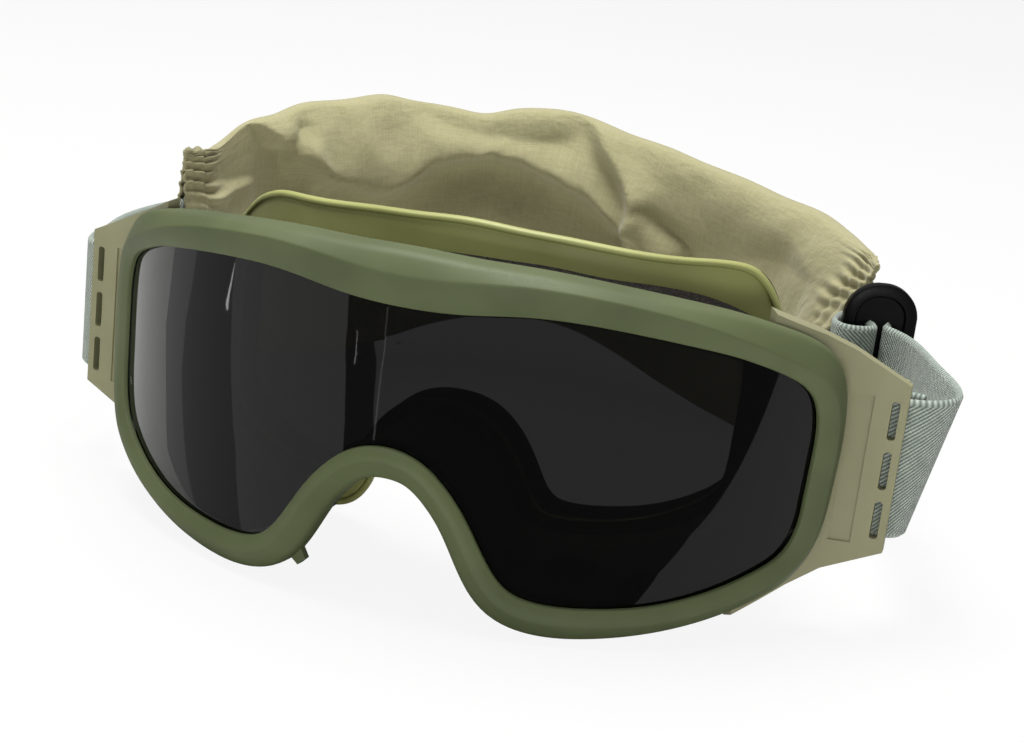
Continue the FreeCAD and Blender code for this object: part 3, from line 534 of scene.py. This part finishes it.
def ventStrip(name, first, last, node, swell=0.0):
    # open-cell foam on the tunnel wall between two stations of the loop; its outer face stands out
    # further by swell times the sum of rise * exp(-((along - middle) / width) ** 2), and is pressed in on
    # the wearer's right
    s, f = frontStations(front["around"]), front
    keep = np.arange(first, last + 1) % front["around"]
    s = {key: value[keep] for key, value in s.items()}
    gap, thick, along = f["softGap"], f["ventFoamThick"], s["along"]
    swellings = ventFoam["swellings"]
    uneven = sum(rise * np.exp(-((along - middle) / wide) ** 2) for rise, middle, wide in swellings)
    depth, begin, run = ventFoam["pressed"]
    uneven = uneven - depth * np.clip((-along - begin) / run, 0, 1)
    edges = []
    for away in (gap, gap + thick + swell * uneven):
        start = rimPoint(s, s["wall"] + away, s["back"] + gap)
        end = flangePoint(s, f["wallThick"] / 2 + away, 0)
        edges.append((start, end + unit(start - end) * (f["beadRise"] + 2 * gap)))
    loop = roundedLoop(np.stack([edges[0][0], edges[1][0], edges[1][1], edges[0][1]], 1), [0.3] * 4, 3)
    strip = gridPiece(name, loop, material=foamMaterial, sharp=45)
    settle(strip, "goggles", "foam_dark", node)


lens = {
    "around": 240, "middle": (0.0, 8.0), "sideOut": 0.5, "edgeGap": 0.3,
    "innerRings": (0.004, 0.008, 0.016, 0.03, 0.055, 0.09), "evenRings": (0.13, 1, 36),  # from, to, number
}


def makeLens():
    # rings shrink from the outline to one middle point on both faces; each ring is rolled onto its cylinder
    s, f = frontStations(lens["around"]), front
    edge = np.stack([s["along"] + lens["sideOut"] * s["outAlong"],
                     s["up"] + (f["grooveDepth"] - lens["edgeGap"]) * s["outUp"]], -1)
    share = np.concatenate([lens["innerRings"], np.linspace(*lens["evenRings"])])[:, None, None]
    middle = np.array(lens["middle"])
    flat = middle + (edge - middle) * share
    faces = [rolled(flat[..., 0], flat[..., 1], np.full(flat.shape[:2], depth))
             for depth in (0.0, f["lensThick"])]
    points = np.concatenate([faces[0], faces[1][::-1]])
    settle(gridPiece("smokeLens", points, material=lensMaterial, sharp=40), "goggles", "lens_smoke", "lens")


makeRim()
makeHingeBosses()
makeNoseTab()
makeFlange()
makeLens()
padRing("faceFoam", front["flangeThick"] + 0.05, front["foamThick"] - 0.1, 0, foamMaterial, "foam_dark",
        "face_foam", 2.2)
padRing("foamLiner", front["flangeThick"] + front["foamThick"], front["linerThick"], 0.5, fleeceMaterial,
        "foam_skin", "foam_liner", 0.55)
print("front made")


outrigger = {"bevel": 0.3, "gap": 0.6, "gapInside": 2, "gapFront": -3.4, "gapBack": 3.6}


def gapCutter():
    # a closed band round the rim's outer edge that keeps each outrigger the gap clear of it
    s, near, far = frontStations(240), outrigger["gapFront"], outrigger["gapBack"]
    inside, outside = s["band"] - outrigger["gapInside"], s["band"] + outrigger["gap"]
    section = ((inside, near), (outside, near), (outside, far), (inside, far))
    corners = np.stack([rimPoint(s, *point) for point in section], 1)
    return gridPiece("cutter", roundedLoop(corners, [0.3] * 4, 2), loopU=True)


def makeOutrigger(name, node):
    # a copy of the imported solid, its loose triangles merged and flat faces joined, with every hard edge
    # rounded
    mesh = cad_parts[node].data.copy()
    mesh.name = name
    work = bmesh.new()
    work.from_mesh(mesh)
    bmesh.ops.remove_doubles(work, verts=work.verts, dist=0.002 * mm)
    bmesh.ops.dissolve_limit(work, angle_limit=math.radians(0.6), verts=work.verts, edges=work.edges)
    hard = [e for e in work.edges if len(e.link_faces) == 2 and e.calc_face_angle(0) > math.radians(28)]
    bmesh.ops.bevel(work, geom=hard, offset=outrigger["bevel"] * mm, offset_type="OFFSET", segments=3,
                    profile=0.6, affect="EDGES", clamp_overlap=True)
    bmesh.ops.recalc_face_normals(work, faces=work.faces)
    work.to_mesh(mesh)
    work.free()
    mesh.materials.clear()
    mesh.materials.append(outriggerPolymer)
    mesh.shade_smooth()
    mesh.set_sharp_from_angle(angle=math.radians(32))
    piece = bpy.data.objects.new(name, mesh)
    bpy.context.scene.collection.objects.link(piece)
    cutWith(piece, [gapCutter()])
    settle(piece, node, "outrigger_tan", node)  # the body and the CAD node have one name


makeOutrigger("outriggerLeft", "outrigger_left")
makeOutrigger("outriggerRight", "outrigger_right")


slider = {
    "place": (89.8, 22.8), "turn": 18, "wide": 20, "tall": 52, "middle": 42.2, "corner": 9.4,
    "slots": (-2.95, 2.75), "slotWide": 2.3, "slotTall": 33.6, "slotMiddle": 40.4, "slotCorner": 0.5,
    "section": ((3.6, -1.0), (3.1, -1.8), (0.55, -1.8), (0.15, -1.6), (0, -1.15),  # inset and depth
                (0, 1.15), (0.15, 1.6), (0.55, 1.8), (3.1, 1.8), (3.6, 1.0)),
}


def makeSlider():
    # a plate with round corners and a raised border: its outline inset by the first number of each row of
    # the section, at the depth of the second, cut through by the slots
    f = slider
    turn = np.linspace(0, 2 * np.pi, 65)[:-1]
    inner = np.array([f["wide"], f["tall"]]) / 2 - f["corner"]
    rows = []
    for inset, depth in f["section"]:
        reach = f["corner"] - inset
        rows.append(np.stack([np.sign(np.cos(turn)) * inner[0] + reach * np.cos(turn), depth + 0 * turn,
                              np.sign(np.sin(turn)) * inner[1] + reach * np.sin(turn) + f["middle"]], -1))
    plate = gridPiece("strapSlider", np.array(rows), material=sliderPolymer)
    low, high = f["slotMiddle"] - f["slotTall"] / 2, f["slotMiddle"] + f["slotTall"] / 2
    half = f["slotWide"] / 2
    cutWith(plate, [roundedBox((x - half, -4, low), (x + half, 4, high), f["slotCorner"])
                    for x in f["slots"]])
    x, y = f["place"]
    turned = Matrix.Rotation(math.radians(f["turn"]), 4, "Z")
    plate.data.transform(Matrix.Translation((x * mm, y * mm, 0)) @ turned)
    plate.data.set_sharp_from_angle(angle=math.radians(40))
    settle(plate, "slider", "slider_black", "strap_slider")


makeSlider()
print("hard pieces made")


strap = {"low": 23, "wide": 35, "thick": 1.5, "stepMm": 0.8, "across": 40, "leastBead": 0.06}
# the lines of the strap's edges seen from above: round the outrigger's bar, along the side, and through
# the slider
leadBar = [(109.6, -43.9), (104.8, -43.3), (101.2, -44.6), (100.4, -47.2), (101.6, -49.8)]
throughSlider = [(92.2, 19.4), (92.5, 23.6), (91.7, 27.4), (89.3, 27.6), (87.2, 25.6), (87.0, 21.8),
                 (89.3, 18.2), (88.0, 13.8), (81.8, 12.0), (79.2, 15.6), (78.4, 21), (79.8, 27),
                 (82.6, 31.4), (83.3, 35), (81.9, 39.4)]
leftUpper = leadBar + [(106, -50.0), (111.5, -47.6), (116.2, -41.5), (117.2, -35.5), (116.2, -30),
                       (109.8, -13.3), (103.2, 3.6), (95.2, 15.8)] + throughSlider
leftLower = leadBar + [(104.6, -50.1), (107.6, -48.6), (109.6, -45.6), (109.4, -41.0), (108.0, -34),
                       (104.2, -16.3), (100.2, 2.4), (94.6, 15.8)] + throughSlider
rightLine = [(-109.2, -44.0), (-104.8, -43.3), (-101.2, -44.6), (-100.4, -47.2), (-101.6, -49.8),
             (-106, -50.0), (-111, -47.6), (-113.8, -42), (-115, -35), (-117.2, -26), (-119.2, -14),
             (-119.3, -2), (-118.2, 8), (-117, 14)]
rearLine = [(-116.9, 14.4), (-115, 30), (-108, 54), (-95, 75), (-78, 88), (-58, 96.5), (-32, 101.5),
            (-5, 102.2), (20, 99), (44, 89.5), (62, 75), (75, 56), (81.75, 39.8)]


def ribbon(name, lowerLine, upperLine):
    # webbing between a lower and an upper edge line, which have as many points: each pair spans the
    # width, and the section is a flat band with half-round edges
    f = strap
    count = int(np.linalg.norm(np.diff(upperLine, axis=0), axis=1).sum() / f["stepMm"])
    levels = [[f["low"] + f["wide"]] * len(upperLine), [f["low"]] * len(lowerLine)]
    both = np.column_stack([upperLine, levels[0], lowerLine, levels[1]])
    both = smoothThrough(both, count, measure=3)
    high, low = both[:, :3], both[:, 3:]
    side = high - low
    ahead = np.gradient((high + low) / 2, axis=0)
    normal = unit(np.cross(ahead, side))
    half = f["thick"] / 2
    v = np.linspace(0, 1, f["across"])
    fromEdge = (np.minimum(v, 1 - v) * f["wide"] / half - 1).clip(-1, 0)
    bead = np.maximum(half * np.sqrt(1 - fromEdge ** 2), f["leastBead"])
    shares = np.concatenate([v, v[::-1]])
    lift = np.concatenate([bead, -bead[::-1]])
    points = low[:, None] + side[:, None] * shares[None, :, None] + normal[:, None] * lift[None, :, None]
    run = np.concatenate([[0], np.cumsum(np.linalg.norm(np.diff((high + low) / 2, axis=0), axis=1))])
    around = np.concatenate([v, v[::-1], [0]]) * f["wide"]  # both faces carry the same lattice, mirrored
    return gridPiece(name, points, uv=(run, around), material=webbingMaterial, sharp=60)


strapLeft = ribbon("strapLeft", leftLower, leftUpper)
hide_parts("strap_lead_left", "strap_side_left")
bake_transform(strapLeft)
strapRight = ribbon("strapRight", rightLine, rightLine)
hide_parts("strap_lead_right", "strap_side_right")
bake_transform(strapRight)
settle(ribbon("strapRear", rearLine, rearLine), "goggles", "strap_webbing", "strap_rear")
print("strap made")


sleeve = {
    "along": 190, "around": 262, "fineRows": 1200, "crowding": 0.3, "cloth": 0.7, "uvRadius": 30,
    "flat": (0.19, 0.30),  # metres, laid open
    # the mouth on the wearer's left is cut at a slant and leans
    "slantRun": 75, "slant": 0.45, "slantFrom": 70, "slantMost": 30, "lean": 0.24, "leanFrom": 58,
    "roundness": 0.7, "pinched": 1.3, "pinchedRun": 9, "foldsFrom": 14, "leastHalf": 1.5, "leastLevel": 0.9,
    "shoulder": 0.06, "foldPower": 0.6, "seamFade": 3,  # the oval's shape, and the fade at top and bottom
    # rise of each slow wave, its lengths along and up, and where it starts
    "drifts": ((0.45, 7.3, 11, 0), (0.35, 4.1, -6.2, 2), (0.3, 12, 4.6, 0)),
    "pleats": 44, "pleatRise": 1.05, "pleatFade": 8, "outerPleats": 0.5, "pleatLift": 0.8,
    "hemLong": 9, "stitches": (3.6, 9.2), "stitchWide": 0.75, "stitchRun": 14, "stitchDeep": 0.5,
    "stitchShare": 0.55, "puff": 0.45,
}
foldShape = {"powerAbove": 1.5, "powerBelow": 1.3, "dropRun": 34, "turnover": 0.8}
sleeveRows = [  # x, y, width, lower edge, top edge
    (-117.0, 13.6, 3.2, 18, 72.6), (-116.2, 20, 7, 15.5, 72.0), (-115.4, 27, 9.5, 13, 71.4),
    (-114.4, 35.5, 11.5, 10, 73.2), (-112.9, 40.4, 12.6, 8, 76.4), (-111.1, 45.7, 13.5, 6, 78.9),
    (-107, 55.7, 15, 3.2, 80.6), (-103.8, 61.7, 16, 1.6, 83.0), (-96.8, 72.1, 16.5, 0.6, 84.6),
    (-90.7, 78.0, 17, 1.2, 85.8), (-83.1, 83.6, 17, 3.6, 87.5), (-76.5, 87.8, 17, 6.4, 86.5),
    (-68.8, 91.7, 17, 10, 85.8), (-60.7, 94.4, 17, 13.4, 85.1), (-52.5, 97, 17, 16, 84.6),
    (-44.4, 99, 17, 18, 87.0), (-36, 100.3, 17, 19, 88.5), (-24.8, 101.2, 17, 18.8, 88.9),
    (-15, 101.8, 17, 17.4, 87.2), (-5, 101.4, 17, 14.6, 84.8), (8.7, 99.5, 17, 9.8, 82.8),
    (18, 97.6, 17, 6.6, 80.8), (36.5, 91.6, 17, 2.0, 78.0), (50.8, 83.6, 17, 0.8, 75.6),
    (60.1, 76.8, 16.5, 0.7, 74.8), (69, 66.8, 14.5, 2.0, 72.6), (76.4, 54.6, 12, 5.4, 71.0),
    (80.6, 45.2, 8.6, 9, 70.2), (83.0, 36.6, 4.6, 14, 69.6),
]
# folds on the side towards the lens: points as (run from the mouth on the wearer's right, height), how
# far the cloth stands out there (minus goes in), how wide the fold is above its line and below it, and
# how far in the cloth stays below it
innerFolds = [
    ([(40, 73), (50, 67), (59, 62), (71, 60), (82, 58.7), (95, 66.5), (105, 70.6), (120, 73.2),
      (132, 71.6), (141, 69), (159, 62), (170, 55)], 6.5, 16, 3.2, 6.6),
    ([(94, 84), (106, 80), (122, 78.5), (142, 79)], -4.8, 6, 5.5, 0),
    ([(66, 84), (72, 76), (80, 68)], 4.6, 12, 12, 0),
    ([(92, 80), (100, 76), (112, 76)], 1.8, 5, 5, 0),
    ([(146, 89), (148.5, 84), (153, 76.5), (161, 68.5), (167, 62), (168, 54)], -5.0, 4.6, 4.2, 0),
    ([(151, 91), (157, 82), (163, 76), (169, 70), (173, 64), (171, 56), (166, 44),
      (163, 30)], 6.4, 4.0, 4.2, 0),
    ([(173, 64), (177, 56), (180, 46), (182, 34)], 3.6, 6, 6, 0),
    ([(175.5, 63), (182, 58.5), (189, 54.5), (193, 46)], -4.6, 3.2, 3.0, 0),
    ([(192, 76), (193, 66), (197, 54), (199, 42)], -2.4, 6, 6, 0),
    ([(196, 80), (214, 72), (232, 66), (248, 60)], 2.6, 12, 12, 0),
    ([(206, 52), (226, 58), (246, 56)], -2.2, 7, 7, 0),
    ([(0, 61), (13, 62.5), (27, 65), (42, 68)], -4.2, 3.6, 3.6, 0),
    ([(0, 55), (13, 57), (27, 59.5), (38, 62)], 3.6, 3.4, 3.4, 0),
    ([(49, 77), (45, 71.5), (40, 67), (36.5, 62), (39, 54)], -5.2, 2.8, 2.8, 0),
    ([(30, 76), (44, 80), (60, 83.5)], -2.8, 4.5, 4.5, 0),
    ([(50, 70), (54, 62), (52, 50)], 3.4, 4, 4, 0),
]
outerFolds = [  # and on the other side
    ([(20, 66), (60, 60), (105, 66), (150, 60), (200, 62), (250, 55)], 4.6, 13, 6, 0),
    ([(60, 34), (95, 42), (130, 36), (180, 38), (230, 28)], 3.6, 9, 10, 0),
    ([(30, 50), (75, 48), (120, 50), (165, 46), (215, 48)], -3.8, 8, 8, 0),
    ([(92, 80), (100, 66), (98, 50), (90, 34)], -3.0, 6, 6, 0),
    ([(160, 80), (168, 66), (180, 52), (184, 36)], -3.4, 6, 5, 0),
    ([(225, 70), (218, 56), (222, 40)], 3.0, 7, 7, 0),
]


def foldField(run, level, folds):
    # above its line a fold adds rise * exp(-(distance / above) ** powerAbove); below it (rise + drop) *
    # exp(-(distance / below) ** powerBelow) - drop * exp(-(distance / dropRun) ** 2), so a fold with a
    # drop hangs over the cloth beneath; the two meet softly across the turnover
    total, f = np.zeros_like(run), foldShape
    for line, rise, above, below, drop in folds:
        path = smoothThrough(line, 60)
        gapRun, gapUp = run[..., None] - path[:, 0], level[..., None] - path[:, 1]
        distance = gapRun ** 2 + gapUp ** 2
        nearest = distance.argmin(axis=-1)
        ahead = unit(np.gradient(path, axis=0))[nearest]
        toRun, toUp, far = (np.take_along_axis(gap, nearest[..., None], -1)[..., 0]
                            for gap in (gapRun, gapUp, distance))
        isAbove = 0.5 + 0.5 * np.tanh((ahead[..., 0] * toUp - ahead[..., 1] * toRun) / f["turnover"])
        far = np.sqrt(far)
        hang = drop * np.exp(-(far / f["dropRun"]) ** 2)
        fall = (rise + drop) * np.exp(-(far / below) ** f["powerBelow"]) - hang
        total = total + isAbove * rise * np.exp(-(far / above) ** f["powerAbove"])
        total = total + (1 - isAbove) * fall
    return total


def makeSleeve():
    # a flattened oval tube along the strap: top and bottom edges from the rows, both sides pushed in and
    # out by the folds, and at the mouths fine pleats, pinched by two rows of stitches, that fade out
    # along the cloth
    f = sleeve
    even = np.linspace(0, 1, f["along"])
    fine = smoothThrough(sleeveRows, f["fineRows"] + 1)
    length = np.linalg.norm(np.diff(fine[:, :2], axis=0), axis=1).sum()
    # the rings are closer near the mouths
    share = even - f["crowding"] * np.sin(2 * np.pi * even) / (2 * np.pi)
    turn = np.linspace(0, 2 * np.pi, f["around"] + 1)[:-1]
    s, v = np.meshgrid(share * length, turn, indexing="ij")
    up = np.cos(v) * (1 - f["shoulder"] * np.sin(v) ** 2)

    def rowAt(distance):
        # the table's row at a distance from the mouth on the wearer's right
        place = np.clip(distance / length, 0, 1) * f["fineRows"]
        low = np.minimum(place.astype(int), f["fineRows"] - 1)
        return fine[low] + (fine[low + 1] - fine[low]) * (place - low)[..., None]

    def levelOf(here):
        # between the row's lower and top edge, by the oval's height
        return (here[..., 3] + here[..., 4]) / 2 + (here[..., 4] - here[..., 3]) / 2 * up

    late = np.clip((s - length + f["slantRun"]) / f["slantRun"], 0, 1)
    late = late * late * (3 - 2 * late)
    s = s - late * f["slant"] * np.clip(f["slantFrom"] - levelOf(rowAt(s)), 0, f["slantMost"])
    here = rowAt(s)
    level = levelOf(here)
    ahead = unit(rowAt(s + 1)[..., :2] - rowAt(s - 1)[..., :2])
    fromMouth = np.minimum(share, 1 - share)[:, None] * length + 0 * v
    power = f["roundness"] + f["pinched"] * np.exp(-(fromMouth / f["pinchedRun"]) ** 2)
    side = np.sign(np.sin(v)) * np.abs(np.sin(v)) ** power
    inner = side < 0
    # the folds fade out towards the mouths and at the tube's top and bottom
    fold = np.where(inner, foldField(s, level, innerFolds), foldField(s, level, outerFolds))
    drift = sum(rise * np.sin(s / run + level / height + start) for rise, run, height, start in f["drifts"])
    body = 1 - np.exp(-(fromMouth / f["foldsFrom"]) ** 2)
    fold = (fold + drift) * body * np.abs(np.sin(v)) ** f["foldPower"]
    # uneven pleats: a cosine round the tube, with its phase wandering, times how much is gathered; the
    # waves' own numbers only keep the pleats from looking alike
    uneven = 0.7 + 0.5 * np.sin(5 * v + 0.7 + fromMouth / 9) * np.sin(3 * v + 2.1 - fromMouth / 14)
    fade = f["pleatFade"] * (0.75 + 0.5 * np.sin(7 * v + 1.1) * np.sin(4 * v))
    gather = np.where(fromMouth < f["hemLong"], 1.0, np.exp(-((fromMouth - f["hemLong"]) / fade) ** 2))
    phase = 1.6 * np.sin(3 * v + 0.4) + 1.1 * np.sin(5 * v) + 0.6 * np.sin(fromMouth / 2.6 + 3 * v)
    pinch = sum(np.exp(-((fromMouth - place) / f["stitchWide"]) ** 2) for place in f["stitches"])
    puff = np.abs(np.sin(np.pi * np.clip(fromMouth, 0, f["stitches"][1]) / (f["stitches"][1] / 2)))
    held = 1 - f["stitchShare"] * pinch
    ripple = f["pleatRise"] * uneven * gather * held * np.cos(f["pleats"] * v + phase)
    ripple = ripple - f["stitchDeep"] * pinch * (fromMouth < f["stitchRun"])
    ripple = ripple + f["puff"] * (fromMouth < f["hemLong"] + 1) * puff
    ripple = ripple * np.where(inner, 1, f["outerPleats"])
    outwards = np.where(inner, -1, 1)
    fading = np.minimum(np.abs(side) * f["seamFade"], 1)
    offset = here[..., 2] / 2 * side + (fold + ripple) * outwards * fading
    least = f["leastHalf"] * np.abs(side)  # the two sides never cross
    offset = np.where(inner, np.minimum(offset, -least), np.maximum(offset, least))
    level = np.maximum(level + ripple * np.cos(v) * f["pleatLift"], f["leastLevel"])
    x = here[..., 0] - ahead[..., 1] * offset + late * f["lean"] * (level - f["leanFrom"])
    points = np.stack([x, here[..., 1] + ahead[..., 0] * offset, level], -1)
    around = np.concatenate([turn, [2 * np.pi]]) * f["uvRadius"]
    tube = gridPiece("coverSleeve", points, ends=False, uv=(share * length, around), material=clothMaterial)
    thick = tube.modifiers.new("clothThickness", "SOLIDIFY")
    thick.thickness, thick.offset = f["cloth"] * mm, -1
    settle(tube, "goggles", "sleeve_khaki", "cover_sleeve", "hem_elastic_left", "hem_elastic_right")


makeSleeve()
print("sleeve made")

ventStrip("topVentFoam", -98, 98, "top_vent_foam", swell=1.1)
ventStrip("bottomVentFoamLeft", 119, 170, "bottom_vent_foam_left")
ventStrip("bottomVentFoamRight", -170, -119, "bottom_vent_foam_right")
print("vent foam made")


studio = {
    "floorHex": "D6D6D4", "floorHalf": 3000, "floorLevel": -0.5, "paintedCardLevel": -0.3, "paintedGlintLevel": -0.1,
    "worldLight": 0.22, "whiteShare": 0.9,
    "lamps": (  # name, place, target, size, watts
        ("topSoftbox", (-0.15, 0.05, 1.2), (0, 0, 0.04), (0.8, 0.6), 22),
        ("lowFrontFill", (0.3, -1.5, 0.17), (0, 0, 0.05), (1.0, 0.2), 8),
    ),
}
# painted light for the lens: glowing cards and narrow strips on the floor, no lamps, seen only in the
# lens, mirrored in it as painted reflections and glints or through it as painted shade: name, glow,
# which, corners
noseSide = ((-50, -160), (-64, -191), (-82, -217), (-106, -249), (-142, -296), (-174, -339))
paleSide = ((-57, -112), (-113, -132), (-157, -143), (-208, -156), (-269, -173), (-333, -196), (-620, -290))
endSide = ((-78, -99), (-136, -94), (-194, -88), (-252, -89), (-352, -106), (-600, -150))
nearSide = ((58, -102), (76, -108), (98, -116), (129, -121), (620, -121))
paintedLightCards = (
    # painted reflections: glowing cards that only the lens mirrors, as its darker and paler areas
    ("paintedDarkReflection", 0.1, "mirrored", ((-45, -120), *noseSide, (-420, -800), (620, -800), *nearSide[::-1])),
    ("paintedPaleReflection", 0.75, "mirrored", (*noseSide, (-340, -620), *paleSide[::-1])),
    ("paintedGreyReflection", 0.42, "mirrored", paleSide + endSide[::-1]),
    ("paintedEndReflection", 0.66, "mirrored", (*endSide, (-600, -40), (-335, -45), (-245, -52), (-175, -70),
                                   (-120, -82))),
    ("paintedNearReflection", 0.62, "mirrored", (*nearSide, (620, 300), (130, 20), (104, -60))),
    # painted shadow: a dark card seen only through the lens, for the shaded floor inside the sleeve's loop
    ("paintedShadowThroughLens", 0.1, "through", ((-47, -14), (-49, 12), (-60, 39), (-76, 80), (-92, 114), (-150, 114),
                                   (-150, 50), (-90, -10))),
    # painted glints: narrow glowing strips, no lamps, that the lens mirrors as thin lines of light
    ("paintedGlintLeft", 6, "mirrored", ((-324, -192.3), (-324, -191.7), (-270, -162), (-259, -160),
                                  (-258, -163.5), (-270, -167))),
    ("paintedGlintNose", 3.5, "mirrored", ((-128, -299), (-127, -299), (-109.5, -272), (-111, -272))),
    ("paintedGlintMiddle", 1.1, "mirrored", ((-113.8, -356), (-112.2, -356), (-51.2, -215), (-52.8, -215))),
)


def whiteRays(tree):
    # 1 for the camera's rays and for those that pass through the lens, which see the background white; 0
    # for others
    path = addNode(tree, "LightPath")
    seen = addNode(tree, "Math", operation="MAXIMUM",
                   links={0: path.outputs["Is Camera Ray"], 1: path.outputs["Is Transmission Ray"]})
    return seen


def flatPiece(name, corners, level, material):
    # one flat face of the corners (x, y) at a level, in mm
    mesh = bpy.data.meshes.new(name)
    mesh.from_pydata([(x * mm, y * mm, level * mm) for x, y in corners], [], [tuple(range(len(corners)))])
    mesh.materials.append(material)
    piece = bpy.data.objects.new(name, mesh)
    bpy.context.scene.collection.objects.link(piece)
    return piece


def makeFloor():
    # a wide pale floor, nearly white to the camera and softly shaded by the object; the cards, which are
    # painted reflections, glints and shade, only show in the lens
    plain = {"Roughness": 0.95, "Specular IOR Level": 0.1}
    material, tree, surface = newMaterial("paintedFloorWhite", studio["floorHex"], plain)
    glow = addNode(tree, "Emission", {"Color": (1, 1, 1, 1), "Strength": 1.0})
    much = addNode(tree, "Math", {1: studio["whiteShare"]}, {0: whiteRays(tree)}, operation="MULTIPLY")
    either = addNode(tree, "MixShader", links={0: much, 1: surface, 2: glow})
    output = next(node for node in tree.nodes if node.type == "OUTPUT_MATERIAL")
    tree.links.new(either.outputs[0], output.inputs["Surface"])
    half = studio["floorHalf"]
    corners = ((-half, -half), (half, -half), (half, half), (-half, half))
    flatPiece("studioFloor", corners, studio["floorLevel"], material)
    for name, strength, which, corners in paintedLightCards:
        # each card is painted light: it glows, though it is no lamp, and only the lens shows it
        paintedGlow = {"Roughness": 0.9, "Specular IOR Level": 0.0, "Emission Color": (1, 1, 1, 1),
                 "Emission Strength": strength}
        # the painted glint strips lie over the painted reflection cards
        level = studio["paintedGlintLevel"] if strength > 1 else studio["paintedCardLevel"]  # strips lie over cards
        piece = flatPiece(name, corners, level, newMaterial(name + "PaintedLight", "050505", paintedGlow)[0])
        piece.visible_camera = piece.visible_diffuse = piece.visible_shadow = False
        piece.visible_glossy, piece.visible_transmission = which == "mirrored", which == "through"


def makeWorld():
    # white to the camera and through the lens, and a plain dim light to every other ray
    world = bpy.data.worlds.new("studioWorld")
    bpy.context.scene.world = world
    world.use_nodes = True
    tree = world.node_tree
    tree.nodes.clear()
    plain, white = (addNode(tree, "Background", {"Color": (1, 1, 1, 1), "Strength": strength})
                    for strength in (studio["worldLight"], 1.0))
    either = addNode(tree, "MixShader", links={0: whiteRays(tree), 1: plain, 2: white})
    addNode(tree, "OutputWorld", links={"Surface": either})


def addLamp(name, place, target, size, watts):
    # a rectangular area light at a place, in metres, turned towards its target
    lamp = bpy.data.lights.new(name, "AREA")
    lamp.shape, lamp.size, lamp.size_y, lamp.energy = "RECTANGLE", size[0], size[1], watts
    holder = bpy.data.objects.new(name, lamp)
    holder.location = place
    holder.rotation_euler = (Vector(target) - Vector(place)).to_track_quat("-Z", "Y").to_euler()
    bpy.context.scene.collection.objects.link(holder)


view = {
    "azimuth": 16.47, "elevation": 16.39, "roll": 6.70, "lens": 64.69, "place": (0.13432, -0.47130, 0.17468),
}


def makeCamera():
    # the camera stands in front of the wearer's left, above, and leans a little
    azimuth, elevation, roll = (math.radians(view[key]) for key in ("azimuth", "elevation", "roll"))
    right = Vector((math.cos(azimuth), math.sin(azimuth), 0))
    back = Vector((math.sin(azimuth) * math.cos(elevation), -math.cos(azimuth) * math.cos(elevation),
                   math.sin(elevation)))
    up = back.cross(right)
    axes = (right * math.cos(roll) + up * math.sin(roll), up * math.cos(roll) - right * math.sin(roll), back)
    camera = bpy.data.objects.new("camera", bpy.data.cameras.new("camera"))
    turned = Matrix([[axis[k] for axis in axes] for k in range(3)]).to_4x4()
    camera.matrix_world = Matrix.Translation(view["place"]) @ turned
    camera.data.lens, camera.data.sensor_width = view["lens"], 36
    camera.data.clip_start, camera.data.clip_end = 0.01, 50
    bpy.context.scene.collection.objects.link(camera)
    bpy.context.scene.camera = camera


makeFloor()
makeWorld()
for lamp in studio["lamps"]:
    addLamp(*lamp)
makeCamera()
bpy.context.scene.view_settings.view_transform = "Standard"
print("studio made")
